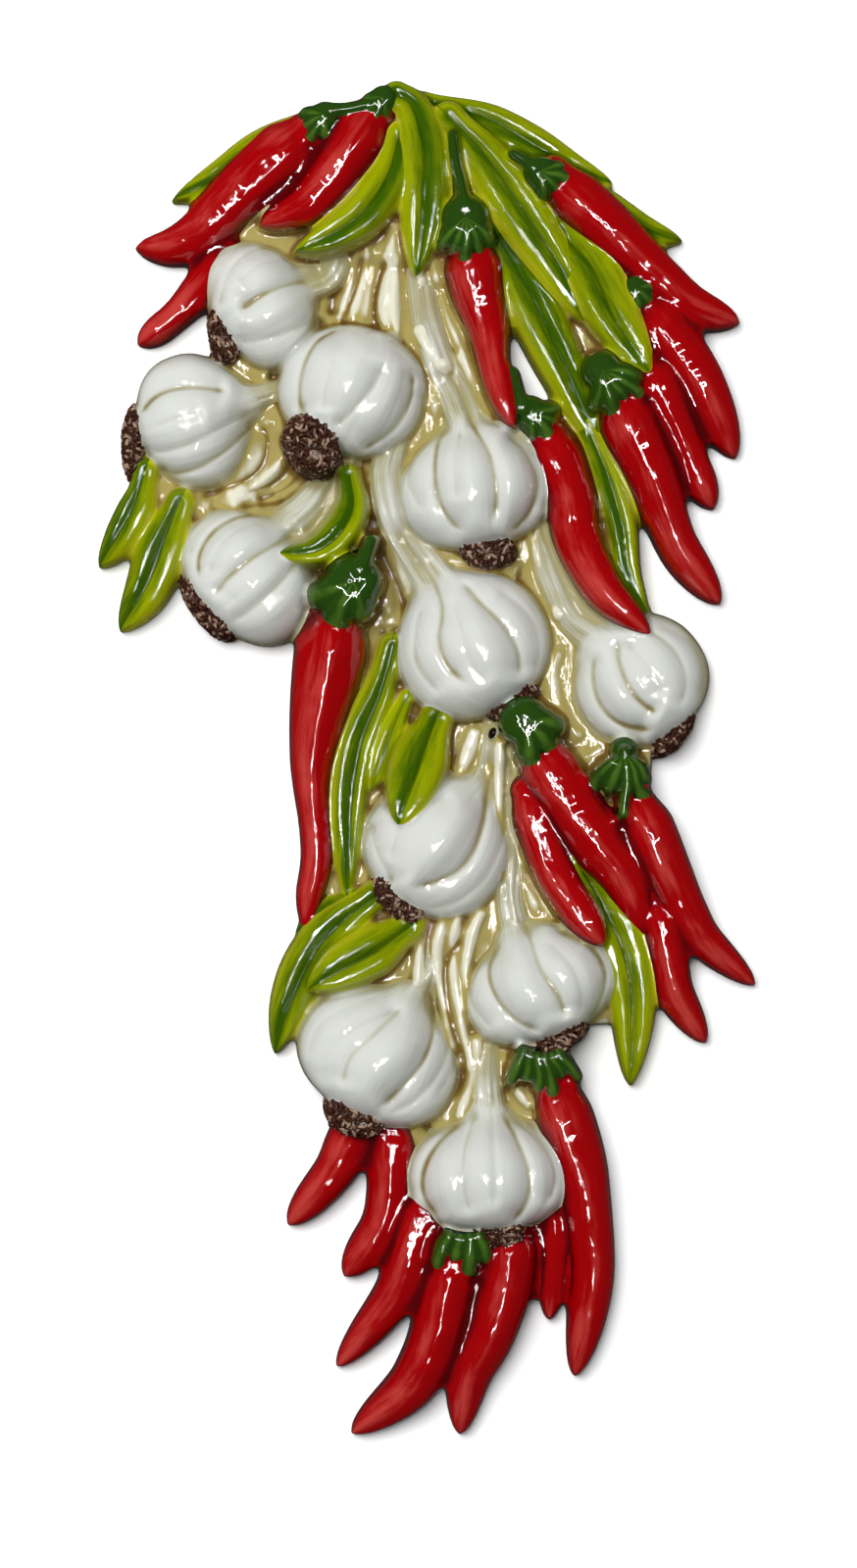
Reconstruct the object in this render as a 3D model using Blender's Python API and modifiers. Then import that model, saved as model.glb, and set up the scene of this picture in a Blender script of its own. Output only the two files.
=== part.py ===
"""A garlic braid cast in glazed ceramic: a wall plaque in relief, one solid with a flat back.

The plaque lies on its back. X runs across the braid, Y up the braid towards its crown of leaves,
and Z out of the back towards the viewer. The origin is at the middle of the back face. Places are
written in millimetres on that face, and turned into metres only where a shape is made.
"""

import math
from typing import NamedTuple

import bmesh
import bpy
import numpy as np

# ---------------------------------------------------------------- driving dimensions, in millimetres
TO_METRES = 0.001
BELOW_BACK = -4.0  # every shape runs down to here, and is then cut off flat at the back face
COURSE_STEP = 4.0  # distance between the rings of a swept shape
FUSE_CELL = 1.5  # cell of the remesh that makes one skin of all the shapes
FUSE_SMOOTHING = 4  # rounds of smoothing that leave a fillet of slip in each crease
TARGET_TRIANGLES = 9300
BACK_CUT = (330.0, 560.0, 40.0)  # the block that trims the back flat

LEAF_THICKNESS = 0.55  # share of a leaf's half width that it stands above its edge
WEB_CROWN = 4.0  # the ground of dry stalks stands this far above its edge
NECK_RATIO = 0.2  # half width of a bulb at its neck, as a share of its greatest
CLOVE_DEPTH = 0.11  # depth of the dip between two cloves, as a share of the radius
CLOVE_WIDTH = 0.18  # width of that dip, as a share of the half width

# ---------------------------------------------------------------- what the braid is made of


class Chilli(NamedTuple):
    """A pepper swept along a course from its cap to its tip."""

    name: str
    course: list  # points that its middle line runs through
    half_width: float
    taper: float  # half width before the tip, as a share of the greatest
    tip_start: float  # share of its length where the tip starts to round off
    crown: float  # height of its back near the cap
    tip_height: float  # height of its middle line at the tip
    cap: float = 0.0  # half width of the green cap, or 0 where the cap is hidden
    stem: tuple = ()


class Leaf(NamedTuple):
    """A long leaf swept along a course from its base to its point."""

    name: str
    course: list
    half_width: float
    edge: float  # height of its edge
    tip_edge: float


class Bulb(NamedTuple):
    """A head of garlic between the foot of its neck and its root plate."""

    name: str
    neck: tuple
    root: tuple
    half_width: float
    crown: float
    cloves: list  # where the dips between cloves run, from -1 at one side to 1 at the other
    stalk: list  # course of its neck, away from the head
    stalk_width: float
    blunt: bool = False  # seen from the root end, with no neck showing


class RootPlate(NamedTuple):
    """The rough oval plate of cut rootlets."""

    name: str
    centre: tuple
    half_length: float
    half_width: float
    turn: float  # degrees
    height: float


class Web(NamedTuple):
    """A stretch of the low ground of dry stalks that joins the pieces."""

    course: list
    half_width: float
    edge: float


CHILLIES = [
    Chilli("crown_left", [(-40, 213), (-55, 200.5), (-66.5, 190), (-77, 179.5), (-87, 174.8), (-99.7, 174.3)],
           11.0, 0.82, 0.50, 20, 6, 7.5),
    Chilli("crown_inner", [(-18, 218.5), (-25, 208.5), (-33, 197), (-42.5, 187.3), (-56.8, 180.8)],
           9.9, 0.80, 0.40, 24, 14, 6.5),
    Chilli("left_short", [(-66, 172), (-78, 159.5), (-87, 150.5), (-99, 141.2)], 8.0, 0.65, 0.75, 14, 5),
    Chilli("crown_middle", [(14, 176), (17, 158), (20.2, 147), (22.3, 134), (25.5, 121), (29.2, 112)],
           10.3, 0.52, 0.60, 22, 20, 9.5, ((11.5, 184), (9.5, 195), (9, 205))),
    Chilli("middle_right", [(39, 113), (48, 90), (50.5, 76), (55.5, 64), (62, 54), (75, 42.3)],
           9.7, 0.80, 0.50, 19, 21, 7.5, ((34, 119), (30, 125), (28.5, 132))),
    Chilli("crown_right", [(42, 198), (53, 187.5), (66.5, 175), (79.5, 163), (90, 154.2), (106.5, 149)],
           9.6, 0.80, 0.70, 23, 6, 7.5, ((35, 202), (29, 204.5))),
    Chilli("right_upper", [(75, 155), (81, 145), (90, 133), (96.5, 121), (105, 102.5)], 9.8, 0.85, 0.50, 18, 5, 5.0),
    Chilli("right_inner", [(74, 135), (80, 123), (86, 110), (91.5, 98), (97.4, 85)], 8.0, 0.75, 0.75, 18, 5),
    Chilli("right_lower", [(64, 125), (69, 112), (75.5, 98), (81.5, 82), (87, 70), (99.8, 52.8)],
           10.3, 0.68, 0.70, 22, 6, 8.5, ((58, 132), (55, 138), (54, 144))),
    Chilli("left_long", [(-31, 52), (-32.5, 38), (-38, 8), (-39.3, -8), (-37.6, -33), (-40.2, -47), (-42, -57)],
           12.4, 0.43, 0.80, 24, 9, 11.0, ((-24, 63), (-20.5, 69), (-18.7, 73.5))),
    Chilli("heart_long", [(36, 6), (42, -5), (50.5, -18), (58.5, -29.5), (66, -39.5), (75.2, -61)],
           10.4, 0.95, 0.45, 23, 10, 9.0),
    Chilli("heart_short", [(33.5, -11), (37.5, -24), (42, -36), (48, -47), (59.8, -63.3)], 7.8, 0.85, 0.70, 19, 17),
    Chilli("outer_right", [(70, -13), (76, -25), (83, -40), (89.5, -53), (96, -63), (112.2, -77.4)],
           9.2, 0.72, 0.55, 22, 5, 9.5, ((67.5, -10), (66.6, -15), (66, -19))),
    Chilli("outer_low", [(77, -47), (80, -60), (82.5, -71), (85, -81), (95, -97.2)], 6.7, 0.97, 0.55, 16, 5),
    Chilli("foot_right", [(42, -108), (51, -133), (54.3, -148), (57, -172), (55, -191), (50.7, -211)],
           9.6, 0.77, 0.65, 21, 6, 10.5),
    Chilli("foot_far_left", [(-23, -122), (-28, -132), (-33.5, -142), (-48.2, -159.6)], 8.2, 0.80, 0.55, 15, 5),
    Chilli("foot_left", [(-12.5, -122), (-14, -135), (-14.5, -148), (-18, -161), (-29, -177.3)],
           7.8, 0.80, 0.70, 15, 5),
    Chilli("foot_long_left", [(1, -152), (-4, -165), (-9, -178), (-15.5, -189), (-31, -207.8)],
           8.2, 0.85, 0.50, 17, 5),
    Chilli("foot_middle", [(10, -167), (6.5, -181), (3, -194), (-2, -206), (-9.5, -216), (-26.5, -230.3)],
           9.0, 0.93, 0.50, 20, 5, 9.5),
    Chilli("foot_middle_right", [(27, -156), (26.5, -171), (24, -184), (20.5, -196), (14.8, -211), (11.4, -231)],
           9.6, 0.90, 0.50, 20, 5),
    Chilli("foot_small", [(43, -150), (43.5, -165), (42.5, -178), (41.5, -192)], 5.4, 0.75, 0.70, 14, 5),
    Chilli("foot_gap_left", [(35, -152), (36.5, -170), (36.5, -185)], 4.2, 0.95, 0.80, 9, 4),
    Chilli("foot_gap_right", [(47.5, -148), (48, -168), (48, -186.5)], 4.6, 0.95, 0.80, 10, 4),
]

LEAVES = [
    Leaf("crown_left", [(-12, 223), (-35, 215), (-55, 208), (-70, 199), (-87.5, 190)], 7.6, 9, 6),
    Leaf("crown_front", [(-12.5, 226.6), (-5, 221), (-0.8, 205), (-1.5, 185), (-4, 163.5)], 9.0, 17, 15),
    Leaf("crown_inner", [(-9.5, 211), (-13.5, 196), (-22, 184), (-32, 177), (-45, 171.5)], 7.8, 15, 19),
    Leaf("crown_back", [(-2, 223), (18, 217), (34, 209.5), (49, 201.5), (63, 196.5)], 7.6, 9, 6),
    Leaf("crown_far_right", [(49, 198), (61, 188), (73, 180.5), (87.2, 176.5)], 6.2, 8, 5),
    Leaf("sweep_front", [(7, 217), (20, 202), (32, 184), (43, 167), (53.8, 148)], 9.4, 15, 14),
    Leaf("sweep_under", [(20, 181), (31, 163), (41, 143), (50, 124), (58, 105.5)], 8.8, 10, 10),
    Leaf("sweep_inner", [(9, 212), (13, 195), (18, 180), (24, 164)], 5.5, 10, 9),
    Leaf("sweep_right", [(41, 183), (54, 167), (63, 150), (75.3, 130.5)], 9.8, 12, 17),
    Leaf("tail_right", [(54, 113), (61.5, 97), (67, 80), (69.5, 64), (77, 48)], 5.9, 9, 10),
    Leaf("outer_left", [(-95.5, 98), (-98.5, 86), (-104.5, 75), (-112, 65)], 6.8, 9, 6),
    Leaf("outer_left_low", [(-84, 87), (-90, 72), (-96, 57), (-104.8, 43.2)], 8.6, 9, 6),
    Leaf("banana", [(-26.5, 96), (-25.5, 85), (-31, 75), (-39, 69.7), (-50, 69.3)], 6.3, 17, 21),
    Leaf("left_long", [(-12.5, 38.5), (-17, 22), (-24.5, 4), (-27.5, -18), (-27.5, -48)], 7.2, 10, 9),
    Leaf("left_short", [(-7, 21), (-12, 10), (-16, -1), (-19.5, -11.5)], 4.4, 9, 10),
    Leaf("heart", [(3, 13.5), (-1.5, 2), (-5.5, -9), (-9.8, -22.5)], 9.6, 14, 24),
    Leaf("fork_long", [(-17, -46), (-31, -57), (-41, -69), (-48, -83), (-54.5, -101.5)], 7.6, 11, 6),
    Leaf("fork_short", [(-6, -57), (-18, -65), (-29, -71), (-40.3, -78.3)], 8.8, 12, 17),
    Leaf("fork_back", [(-20, -45), (-32, -52), (-45, -59)], 5.0, 6, 5),
    Leaf("low_right", [(50.5, -35.5), (60, -50), (67, -65), (70, -85), (69.2, -111.3)], 8.0, 10, 7),
]

BULBS = [
    Bulb("top_left", (-39, 165), (-71, 146), 24.0, 28, [-0.8, -0.66, -0.48, 0.02, 0.42, 0.65],
         [(-40, 162), (-33, 165), (-29, 176)], 6.0),
    Bulb("outer_left", (-57, 121), (-98.5, 108), 24.3, 28, [-0.5, 0.4, 0.7],
         [(-62, 122), (-52, 125), (-40, 128)], 4.5),
    Bulb("shoulder", (-10.5, 144.5), (-40.5, 101.5), 25.5, 34, [-0.88, -0.72, -0.53, 0.26, 0.6, 0.8],
         [(-20, 130), (-12, 142)], 5.0, True),
    Bulb("upper_middle", (11.5, 117.5), (21, 71.5), 27.6, 33, [-0.72, -0.47, 0.16, 0.36, 0.72],
         [(13, 116), (9, 126), (4, 134), (0, 147), (-4, 172)], 6.5),
    Bulb("lower_left", (-44, 80), (-75.5, 49.5), 26.0, 30, [-0.66, 0.13, 0.42],
         [(-50, 78), (-42, 84), (-35, 92), (-27, 101)], 7.5),
    Bulb("middle", (0, 64), (27.5, 17.5), 27.0, 33, [-0.7, -0.38, 0.48, 0.8],
         [(3, 59), (-5, 71), (-11, 82), (-14, 97), (-10, 112)], 7.5),
    Bulb("far_right", (55, 49), (85, 9), 25.5, 28, [-0.78, -0.5, 0.0, 0.8],
         [(58, 42), (50, 48), (45, 57), (40, 70), (36, 80)], 7.5),
    Bulb("lower_middle", (21, -6), (-11, -49), 26.0, 30, [-0.3, 0.42],
         [(18, -14), (22, -2), (22, 12)], 5.5),
    Bulb("low_left", (-3, -77), (-27.5, -121), 29.5, 32, [-0.72, -0.45, 0.4, 0.7],
         [(-3, -86), (1, -70), (4.5, -56)], 5.5),
    Bulb("low_right", (29.5, -55), (45.5, -95), 27.5, 32, [-0.55, 0.12, 0.65],
         [(31, -62), (28, -48), (29, -35), (28, -15), (27, 2)], 5.0),
    Bulb("foot", (20, -117), (21, -161), 29.0, 34, [-0.78, -0.3, 0.43, 0.7, 0.86],
         [(21, -121), (20.5, -109), (21, -98)], 5.5),
]

ROOT_PLATES = [
    RootPlate("top_left", (-69, 145.5), 10.5, 4.2, 96, 17),
    RootPlate("outer_left", (-100.2, 108.3), 11.0, 2.9, 88, 14),
    RootPlate("shoulder", (-39, 105.5), 10.0, 7.6, -55, 29),
    RootPlate("upper_middle", (20.5, 70.5), 8.7, 5.0, 0, 19),
    RootPlate("lower_left", (-75, 51), 11.0, 3.7, -52, 17),
    RootPlate("middle", (28.5, 20), 9.0, 4.4, 32, 19),
    RootPlate("far_right", (83.5, 9.5), 9.0, 4.1, 53, 16),
    RootPlate("lower_middle", (-10, -47.5), 10.0, 4.7, -43, 18),
    RootPlate("low_left", (-24.5, -121), 9.2, 6.2, -22, 20),
    RootPlate("low_right", (45, -93.7), 8.4, 4.3, 27, 20),
    RootPlate("foot", (24, -159.8), 7.9, 4.7, -5, 21),
]

WEBS = [
    Web([(-8, 214), (-12, 190), (-12, 165), (-8, 140)], 25, 4),
    Web([(-62, 180), (-50, 172), (-52, 155), (-52, 135)], 14, 3),
    Web([(-68, 137), (-54, 131)], 8, 3),
    Web([(-92, 91), (-74, 86)], 8, 3),
    Web([(-25, 135), (-48, 110), (-62, 96), (-50, 78)], 17, 4),
    Web([(-60, 52), (-46, 45)], 10, 4),
    Web([(2, 140), (-2, 115), (-14, 90), (-10, 66), (-9, 45)], 14, 4),
    Web([(11, 156), (12, 138), (20, 118)], 7, 4),
    Web([(3, 71), (30, 62)], 8, 4),
    Web([(-31, 66), (-22, 45), (-18, 22)], 9, 3),
    Web([(-10, 42), (-6, 24), (6, 12)], 9, 3),
    Web([(-31.5, 4), (-32, -25), (-32.5, -46)], 3, 3),
    Web([(-17, -2), (-20, -24), (-20, -42), (-10, -56), (4, -58)], 7, 3),
    Web([(44, 158), (54, 146), (64, 135)], 8, 3),
    Web([(66, 160), (72, 156)], 6, 4),
    Web([(20, 80), (40, 70), (46, 45), (50, 24), (60, 3)], 12, 4),
    Web([(46, 106), (57, 88), (65, 64), (72, 49)], 5, 3),
    Web([(42, 62), (56, 50), (70, 44)], 6, 4),
    Web([(26, 16), (40, 14)], 11, 4),
    Web([(12, 16), (20, 0), (27, -20), (27, -45), (10, -66), (12, -92), (20, -112)], 13, 4),
    Web([(40, 2), (56, 0), (76, 1)], 6, 4),
    Web([(58, -2), (62, -16)], 6, 4),
    Web([(32, -42), (40, -56)], 10, 4),
    Web([(-2, -58), (-10, -72), (-30, -82)], 9, 3),
    Web([(-6, -124), (-8, -145), (-13, -166)], 7, 4),
    Web([(8, -128), (20, -104), (33, -108), (38, -122)], 11, 4),
    Web([(50, -84), (64, -82)], 7, 3),
]


# ---------------------------------------------------------------- courses and widths


def smooth_course(points, step=COURSE_STEP):
    """Evenly spaced points of the smooth curve through the given ones, and each one's share of the length."""
    knots = np.array(points, float)
    before, after = 2 * knots[0] - knots[1], 2 * knots[-1] - knots[-2]
    padded = np.vstack([before, knots, after])
    fine = []
    for i in range(1, len(padded) - 2):
        a, b, c, d = padded[i - 1 : i + 3]
        for t in np.linspace(0, 1, 24, endpoint=False):
            bend = (2 * a - 5 * b + 4 * c - d) * t**2 + (3 * b - a - 3 * c + d) * t**3
            fine.append(0.5 * (2 * b + (c - a) * t + bend))
    fine = np.array(fine + [knots[-1]])
    along = np.concatenate([[0], np.cumsum(np.linalg.norm(np.diff(fine, axis=0), axis=1))])
    count = max(4, round(along[-1] / step) + 1)
    even = np.linspace(0, along[-1], count)
    line = np.stack([np.interp(even, along, fine[:, k]) for k in range(2)], axis=1)
    return line, even / along[-1]


def smooth_step(low, high, value):
    """0 below low, 1 above high, and a smooth rise between them."""
    t = np.clip((value - low) / (high - low), 0, 1)
    return t * t * (3 - 2 * t)


def chilli_widths(chilli, share):
    """Half width along a pepper: a quick rise at the cap, a slow taper, and a rounded tip."""
    shoulder = 0.72 + 0.28 * smooth_step(0.0, 0.16, share)
    body = 1 - (1 - chilli.taper) * smooth_step(0.1, 0.7, share)
    tip = np.clip((share - chilli.tip_start) / (1 - chilli.tip_start), 0, 1)
    return chilli.half_width * shoulder * body * np.clip(1 - tip**2.2, 0, 1) ** 0.6


def leaf_widths(leaf, share):
    """Half width along a leaf: it swells from its base and runs out to a blunt point."""
    base = 0.6 + 0.4 * smooth_step(0.0, 0.4, share)
    point = np.clip((share - 0.45) / 0.55, 0, 1)
    return leaf.half_width * base * np.clip(1 - point**2.0, 0, 1) ** 0.7


def bulb_profile(share, blunt):
    """Radius along a bulb as a share of its greatest, from the neck at 0 to the root plate at 1."""
    stops = [0.0, 0.1, 0.2, 0.3, 0.42, 0.55, 0.7, 0.82, 0.92, 1.0]
    radii = [NECK_RATIO, 0.42, 0.66, 0.84, 0.96, 1.0, 0.97, 0.86, 0.64, 0.34]
    if blunt:
        return math.sqrt(max(0.0, 1 - (2 * share - 1) ** 2))
    return float(np.interp(share, stops, radii))


# ---------------------------------------------------------------- making shapes


def add_object(name, mesh, collection):
    """A new object in a collection, from a mesh."""
    obj = bpy.data.objects.new(name, mesh)
    collection.objects.link(obj)
    return obj


def swept_mesh(name, line, radii):
    """A closed round tube in millimetres along a flat course, with its own radius at each point."""
    curve = bpy.data.curves.new(name, "CURVE")
    curve.dimensions = "3D"
    curve.bevel_depth = 1.0
    curve.bevel_resolution = 3
    curve.use_fill_caps = True
    spline = curve.splines.new("POLY")
    spline.points.add(len(line) - 1)
    for point, (x, y), radius in zip(spline.points, line, radii):
        point.co = (x, y, 0, 1)
        point.radius = max(radius, 0.35)
    holder = bpy.data.objects.new(name, curve)
    bpy.context.scene.collection.objects.link(holder)
    graph = bpy.context.evaluated_depsgraph_get()
    mesh = bpy.data.meshes.new_from_object(holder.evaluated_get(graph))
    bpy.data.objects.remove(holder)
    bpy.data.curves.remove(curve)
    return mesh


def stand_on_back(mesh, line, heights, flatness=1.0):
    """Lifts a tube to the heights of its course, and runs its lower half straight down past the back."""
    courses = np.asarray(line)
    for vertex in mesh.vertices:
        x, y, z = vertex.co
        nearest = np.argmin((courses[:, 0] - x) ** 2 + (courses[:, 1] - y) ** 2)
        if z < -0.01:
            vertex.co.z = BELOW_BACK
        else:
            vertex.co.z = heights[nearest] + z * flatness


def make_swept(name, course, widths, edges, flatness, collection):
    """A swept shape: widths(share) and edges(share) give its half width and the height of its edge."""
    line, share = smooth_course(course)
    mesh = swept_mesh(name, line, widths(share))
    stand_on_back(mesh, line, edges(share), flatness)
    return add_object(name, mesh, collection)


def make_chilli(chilli, collection):
    """The pepper, and its cap and stem where they show."""
    start = chilli.crown - chilli.half_width

    def edges(share):
        return start + (chilli.tip_height - start) * smooth_step(0.15, 1.0, share)

    make_swept(f"chilli_{chilli.name}", chilli.course, lambda s: chilli_widths(chilli, s), edges, 1.0, collection)
    if chilli.cap:
        make_dome(f"cap_{chilli.name}", chilli.course[0], chilli.cap, 0.8 * chilli.cap,
                  cap_turn(chilli), start, chilli.cap, collection)
    if chilli.stem:
        course = [chilli.course[0], *chilli.stem]
        make_swept(f"stem_{chilli.name}", course, lambda s: 3.0 - 1.4 * s,
                   lambda s: start + 3.0 - 1.0 * s, 1.0, collection)


def cap_turn(chilli):
    """The direction across a pepper at its cap, in degrees."""
    (x0, y0), (x1, y1) = chilli.course[:2]
    return math.degrees(math.atan2(y1 - y0, x1 - x0)) + 90


def make_leaf(leaf, collection):
    """One leaf, as a low arch with a rounded edge."""
    make_swept(f"leaf_{leaf.name}", leaf.course, lambda s: leaf_widths(leaf, s),
               lambda s: leaf.edge + (leaf.tip_edge - leaf.edge) * s, LEAF_THICKNESS, collection)


def make_bulb(bulb, collection):
    """A head of garlic: a sphere drawn out to its neck and root, with a dip between the cloves, and its stalk."""
    neck, root = np.array(bulb.neck, float), np.array(bulb.root, float)
    axis = root - neck
    length = np.linalg.norm(axis)
    axis /= length
    across = np.array([-axis[1], axis[0]])
    shape = bmesh.new()
    bmesh.ops.create_uvsphere(shape, u_segments=40, v_segments=20, radius=1.0)
    middle = bulb.crown - bulb.half_width
    for vertex in shape.verts:
        share = math.acos(max(-1.0, min(1.0, vertex.co.z))) / math.pi
        turn = math.atan2(vertex.co.y, vertex.co.x)
        radius = bulb.half_width * bulb_profile(share, bulb.blunt)
        side = math.cos(turn)
        dip = sum(math.exp(-(((side - c) / CLOVE_WIDTH) ** 2)) for c in bulb.cloves)
        radius *= 1 - CLOVE_DEPTH * min(1.0, dip) * math.sin(math.pi * share)
        place = neck + axis * share * length + across * side * radius
        top = math.sin(turn)
        height = middle + radius * top if top > -0.01 else BELOW_BACK
        vertex.co = (place[0], place[1], height)
    mesh = bpy.data.meshes.new(f"bulb_{bulb.name}")
    shape.to_mesh(mesh)
    shape.free()
    add_object(f"bulb_{bulb.name}", mesh, collection)
    make_swept(f"stalk_{bulb.name}", bulb.stalk, lambda s: bulb.stalk_width * (1 - 0.4 * s),
               lambda s: middle + 3.0 - 3.0 * s, 1.0, collection)


def make_dome(name, centre, half_length, half_width, turn, edge, rise, collection):
    """Half an egg standing on the back: its long axis is turned by turn degrees from X."""
    shape = bmesh.new()
    bmesh.ops.create_uvsphere(shape, u_segments=20, v_segments=10, radius=1.0)
    along, side = math.cos(math.radians(turn)), math.sin(math.radians(turn))
    for vertex in shape.verts:
        x, y, z = vertex.co
        x, y = x * half_length, y * half_width
        vertex.co = (
            centre[0] + x * along - y * side,
            centre[1] + x * side + y * along,
            edge + z * rise if z > -0.01 else BELOW_BACK,
        )
    mesh = bpy.data.meshes.new(name)
    shape.to_mesh(mesh)
    shape.free()
    return add_object(name, mesh, collection)


def make_root_plate(plate, collection):
    """The raised oval of a root plate."""
    make_dome(f"root_{plate.name}", plate.centre, plate.half_length, plate.half_width, plate.turn,
              plate.height - 5.0, 5.0, collection)


def make_web(index, web, collection):
    """Low ground between the pieces."""
    make_swept(f"web_{index}", web.course, lambda s: np.full(len(s), float(web.half_width)),
               lambda s: np.full(len(s), float(web.edge)), WEB_CROWN / web.half_width, collection)


# ---------------------------------------------------------------- casting them as one


def glaze_material():
    """Warm white glaze."""
    material = bpy.data.materials.new("ivory_glaze")
    material.use_nodes = True
    shader = material.node_tree.nodes["Principled BSDF"]
    shader.inputs["Base Color"].default_value = (0.82, 0.80, 0.72, 1.0)
    shader.inputs["Roughness"].default_value = 0.12
    shader.inputs["Metallic"].default_value = 0.0
    return material


def join_shapes(name, shapes, collection):
    """All the shapes' meshes in one object, in metres; the shapes are removed."""
    joined = bmesh.new()
    for shape in shapes:
        joined.from_mesh(shape.data)
    bmesh.ops.scale(joined, vec=(TO_METRES,) * 3, verts=joined.verts)
    bmesh.ops.remove_doubles(joined, verts=joined.verts, dist=1e-6)
    mesh = bpy.data.meshes.new(name)
    joined.to_mesh(mesh)
    joined.free()
    for shape in list(shapes):
        bpy.data.objects.remove(shape)
    return add_object(name, mesh, collection)


def make_back_cutter(collection):
    """The block below the back face."""
    shape = bmesh.new()
    bmesh.ops.create_cube(shape, size=1.0)
    width, length, depth = (side * TO_METRES for side in BACK_CUT)
    bmesh.ops.scale(shape, vec=(width, length, depth), verts=shape.verts)
    bmesh.ops.translate(shape, vec=(0, 0, -depth / 2), verts=shape.verts)
    mesh = bpy.data.meshes.new("back_cutter")
    shape.to_mesh(mesh)
    shape.free()
    cutter = add_object("back_cutter", mesh, collection)
    cutter.hide_render = True
    cutter.display_type = "WIRE"
    return cutter


def fuse(casting, cutter):
    """One skin over all the shapes, softened, thinned to few faces, and cut flat at the back."""
    skin = casting.modifiers.new("skin", "REMESH")
    skin.mode = "VOXEL"
    skin.voxel_size = FUSE_CELL * TO_METRES
    soften = casting.modifiers.new("soften", "SMOOTH")
    soften.factor = 0.5
    soften.iterations = FUSE_SMOOTHING
    graph = bpy.context.evaluated_depsgraph_get()
    fine = casting.evaluated_get(graph).to_mesh()
    faces = sum(len(face.vertices) - 2 for face in fine.polygons)
    thin = casting.modifiers.new("thin", "DECIMATE")
    thin.ratio = TARGET_TRIANGLES / faces
    flat = casting.modifiers.new("flat_back", "BOOLEAN")
    flat.operation = "DIFFERENCE"
    flat.solver = "EXACT"
    flat.object = cutter


def main():
    for old in list(bpy.data.objects):
        bpy.data.objects.remove(old, do_unlink=True)
    scene = bpy.context.scene
    plaque = bpy.data.collections.new("garlic_braid_plaque")
    shapes = bpy.data.collections.new("shapes")
    cutters = bpy.data.collections.new("cutters")
    for collection in (plaque, shapes, cutters):
        scene.collection.children.link(collection)

    for chilli in CHILLIES:
        make_chilli(chilli, shapes)
    for leaf in LEAVES:
        make_leaf(leaf, shapes)
    for bulb in BULBS:
        make_bulb(bulb, shapes)
    for plate in ROOT_PLATES:
        make_root_plate(plate, shapes)
    for index, web in enumerate(WEBS):
        make_web(index, web, shapes)

    casting = join_shapes("ceramic_braid", shapes.objects, plaque)
    bpy.data.collections.remove(shapes)
    casting.data.materials.append(glaze_material())
    fuse(casting, make_back_cutter(cutters))


main()
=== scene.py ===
"""A garlic braid in glazed ceramic: one casting in relief, lying on its back.

The casting is modelled as its maker would build it up. Every head of garlic, chilli, leaf, cap and stalk is
pressed on to a flat plate as a relief, slip fills the creases between them, and the skin is divided where one
glaze meets the next. Lengths in the layout are millimetres on the back face; meshes are in metres.
"""

from __future__ import annotations

import logging
import math
from abc import ABC, abstractmethod
from dataclasses import dataclass, field
from enum import Enum
from functools import partial
from typing import ClassVar, NamedTuple

import bpy
import numpy as np
from mathutils import Matrix, Vector
from mathutils.geometry import delaunay_2d_cdt


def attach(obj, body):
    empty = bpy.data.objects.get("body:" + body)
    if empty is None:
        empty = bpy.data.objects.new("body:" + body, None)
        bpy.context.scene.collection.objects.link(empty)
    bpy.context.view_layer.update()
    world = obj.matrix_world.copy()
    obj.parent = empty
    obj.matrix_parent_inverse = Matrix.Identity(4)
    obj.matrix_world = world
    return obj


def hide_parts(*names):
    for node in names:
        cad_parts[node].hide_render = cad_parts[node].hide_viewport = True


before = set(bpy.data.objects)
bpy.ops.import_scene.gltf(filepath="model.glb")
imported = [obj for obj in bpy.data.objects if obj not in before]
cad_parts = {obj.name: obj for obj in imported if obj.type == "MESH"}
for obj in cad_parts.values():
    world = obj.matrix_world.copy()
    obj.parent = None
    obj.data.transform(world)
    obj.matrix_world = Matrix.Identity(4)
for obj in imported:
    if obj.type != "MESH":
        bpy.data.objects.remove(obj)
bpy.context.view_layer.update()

LOG = logging.getLogger("garlic_braid")
CAD_NODE = "ceramic_braid"
BODY = "root"
TO_METRES = 0.001

Array = np.ndarray
Point = tuple[float, float]

# ---- the plate ----


class Kind(Enum):
    """What a part of the casting shows, which settles its glaze."""

    GARLIC = "garlic_glaze"
    CHILLI = "chilli_glaze"
    LEAF = "leaf_glaze"
    CALYX = "calyx_glaze"
    ROOT = "root_glaze"
    STALK = "stalk_glaze"


@dataclass
class Relief:
    """The relief of one part over a window of the plate, and where each spot lies on that part."""

    height: Array
    along: Array  # millimetres along the part
    across: Array  # millimetres across it
    share: Array  # 0 at its base, 1 at its tip
    side: Array  # -1 at one edge, 1 at the other
    tone: Array  # which of its two glazes a spot wears, 0 to 1


@dataclass(frozen=True)
class Plate:
    """The grid of spots on the back face over which the relief is worked out."""

    step: float
    half_width: float = 116.0
    half_length: float = 236.0

    @property
    def shape(self) -> tuple[int, int]:
        """Rows and columns of spots."""
        return round(2 * self.half_length / self.step) + 1, round(2 * self.half_width / self.step) + 1

    def window(self, low: Point, high: Point) -> tuple[slice, slice]:
        """Finds the rows and columns that cover a box.

        Args:
            low: Lower left corner.
            high: Upper right corner.

        Returns:
            A slice of rows and a slice of columns.
        """
        rows, columns = self.shape
        i0 = max(0, math.floor((low[0] + self.half_width) / self.step))
        i1 = min(columns, math.ceil((high[0] + self.half_width) / self.step) + 1)
        j0 = max(0, math.floor((low[1] + self.half_length) / self.step))
        j1 = min(rows, math.ceil((high[1] + self.half_length) / self.step) + 1)
        return slice(j0, j1), slice(i0, i1)

    def places(self, rows: slice, columns: slice) -> tuple[Array, Array]:
        """Gives the x and y of each spot in a window."""
        x = np.arange(columns.start, columns.stop) * self.step - self.half_width
        y = np.arange(rows.start, rows.stop) * self.step - self.half_length
        return np.meshgrid(x, y)


# ---- shared shapes ----

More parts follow.
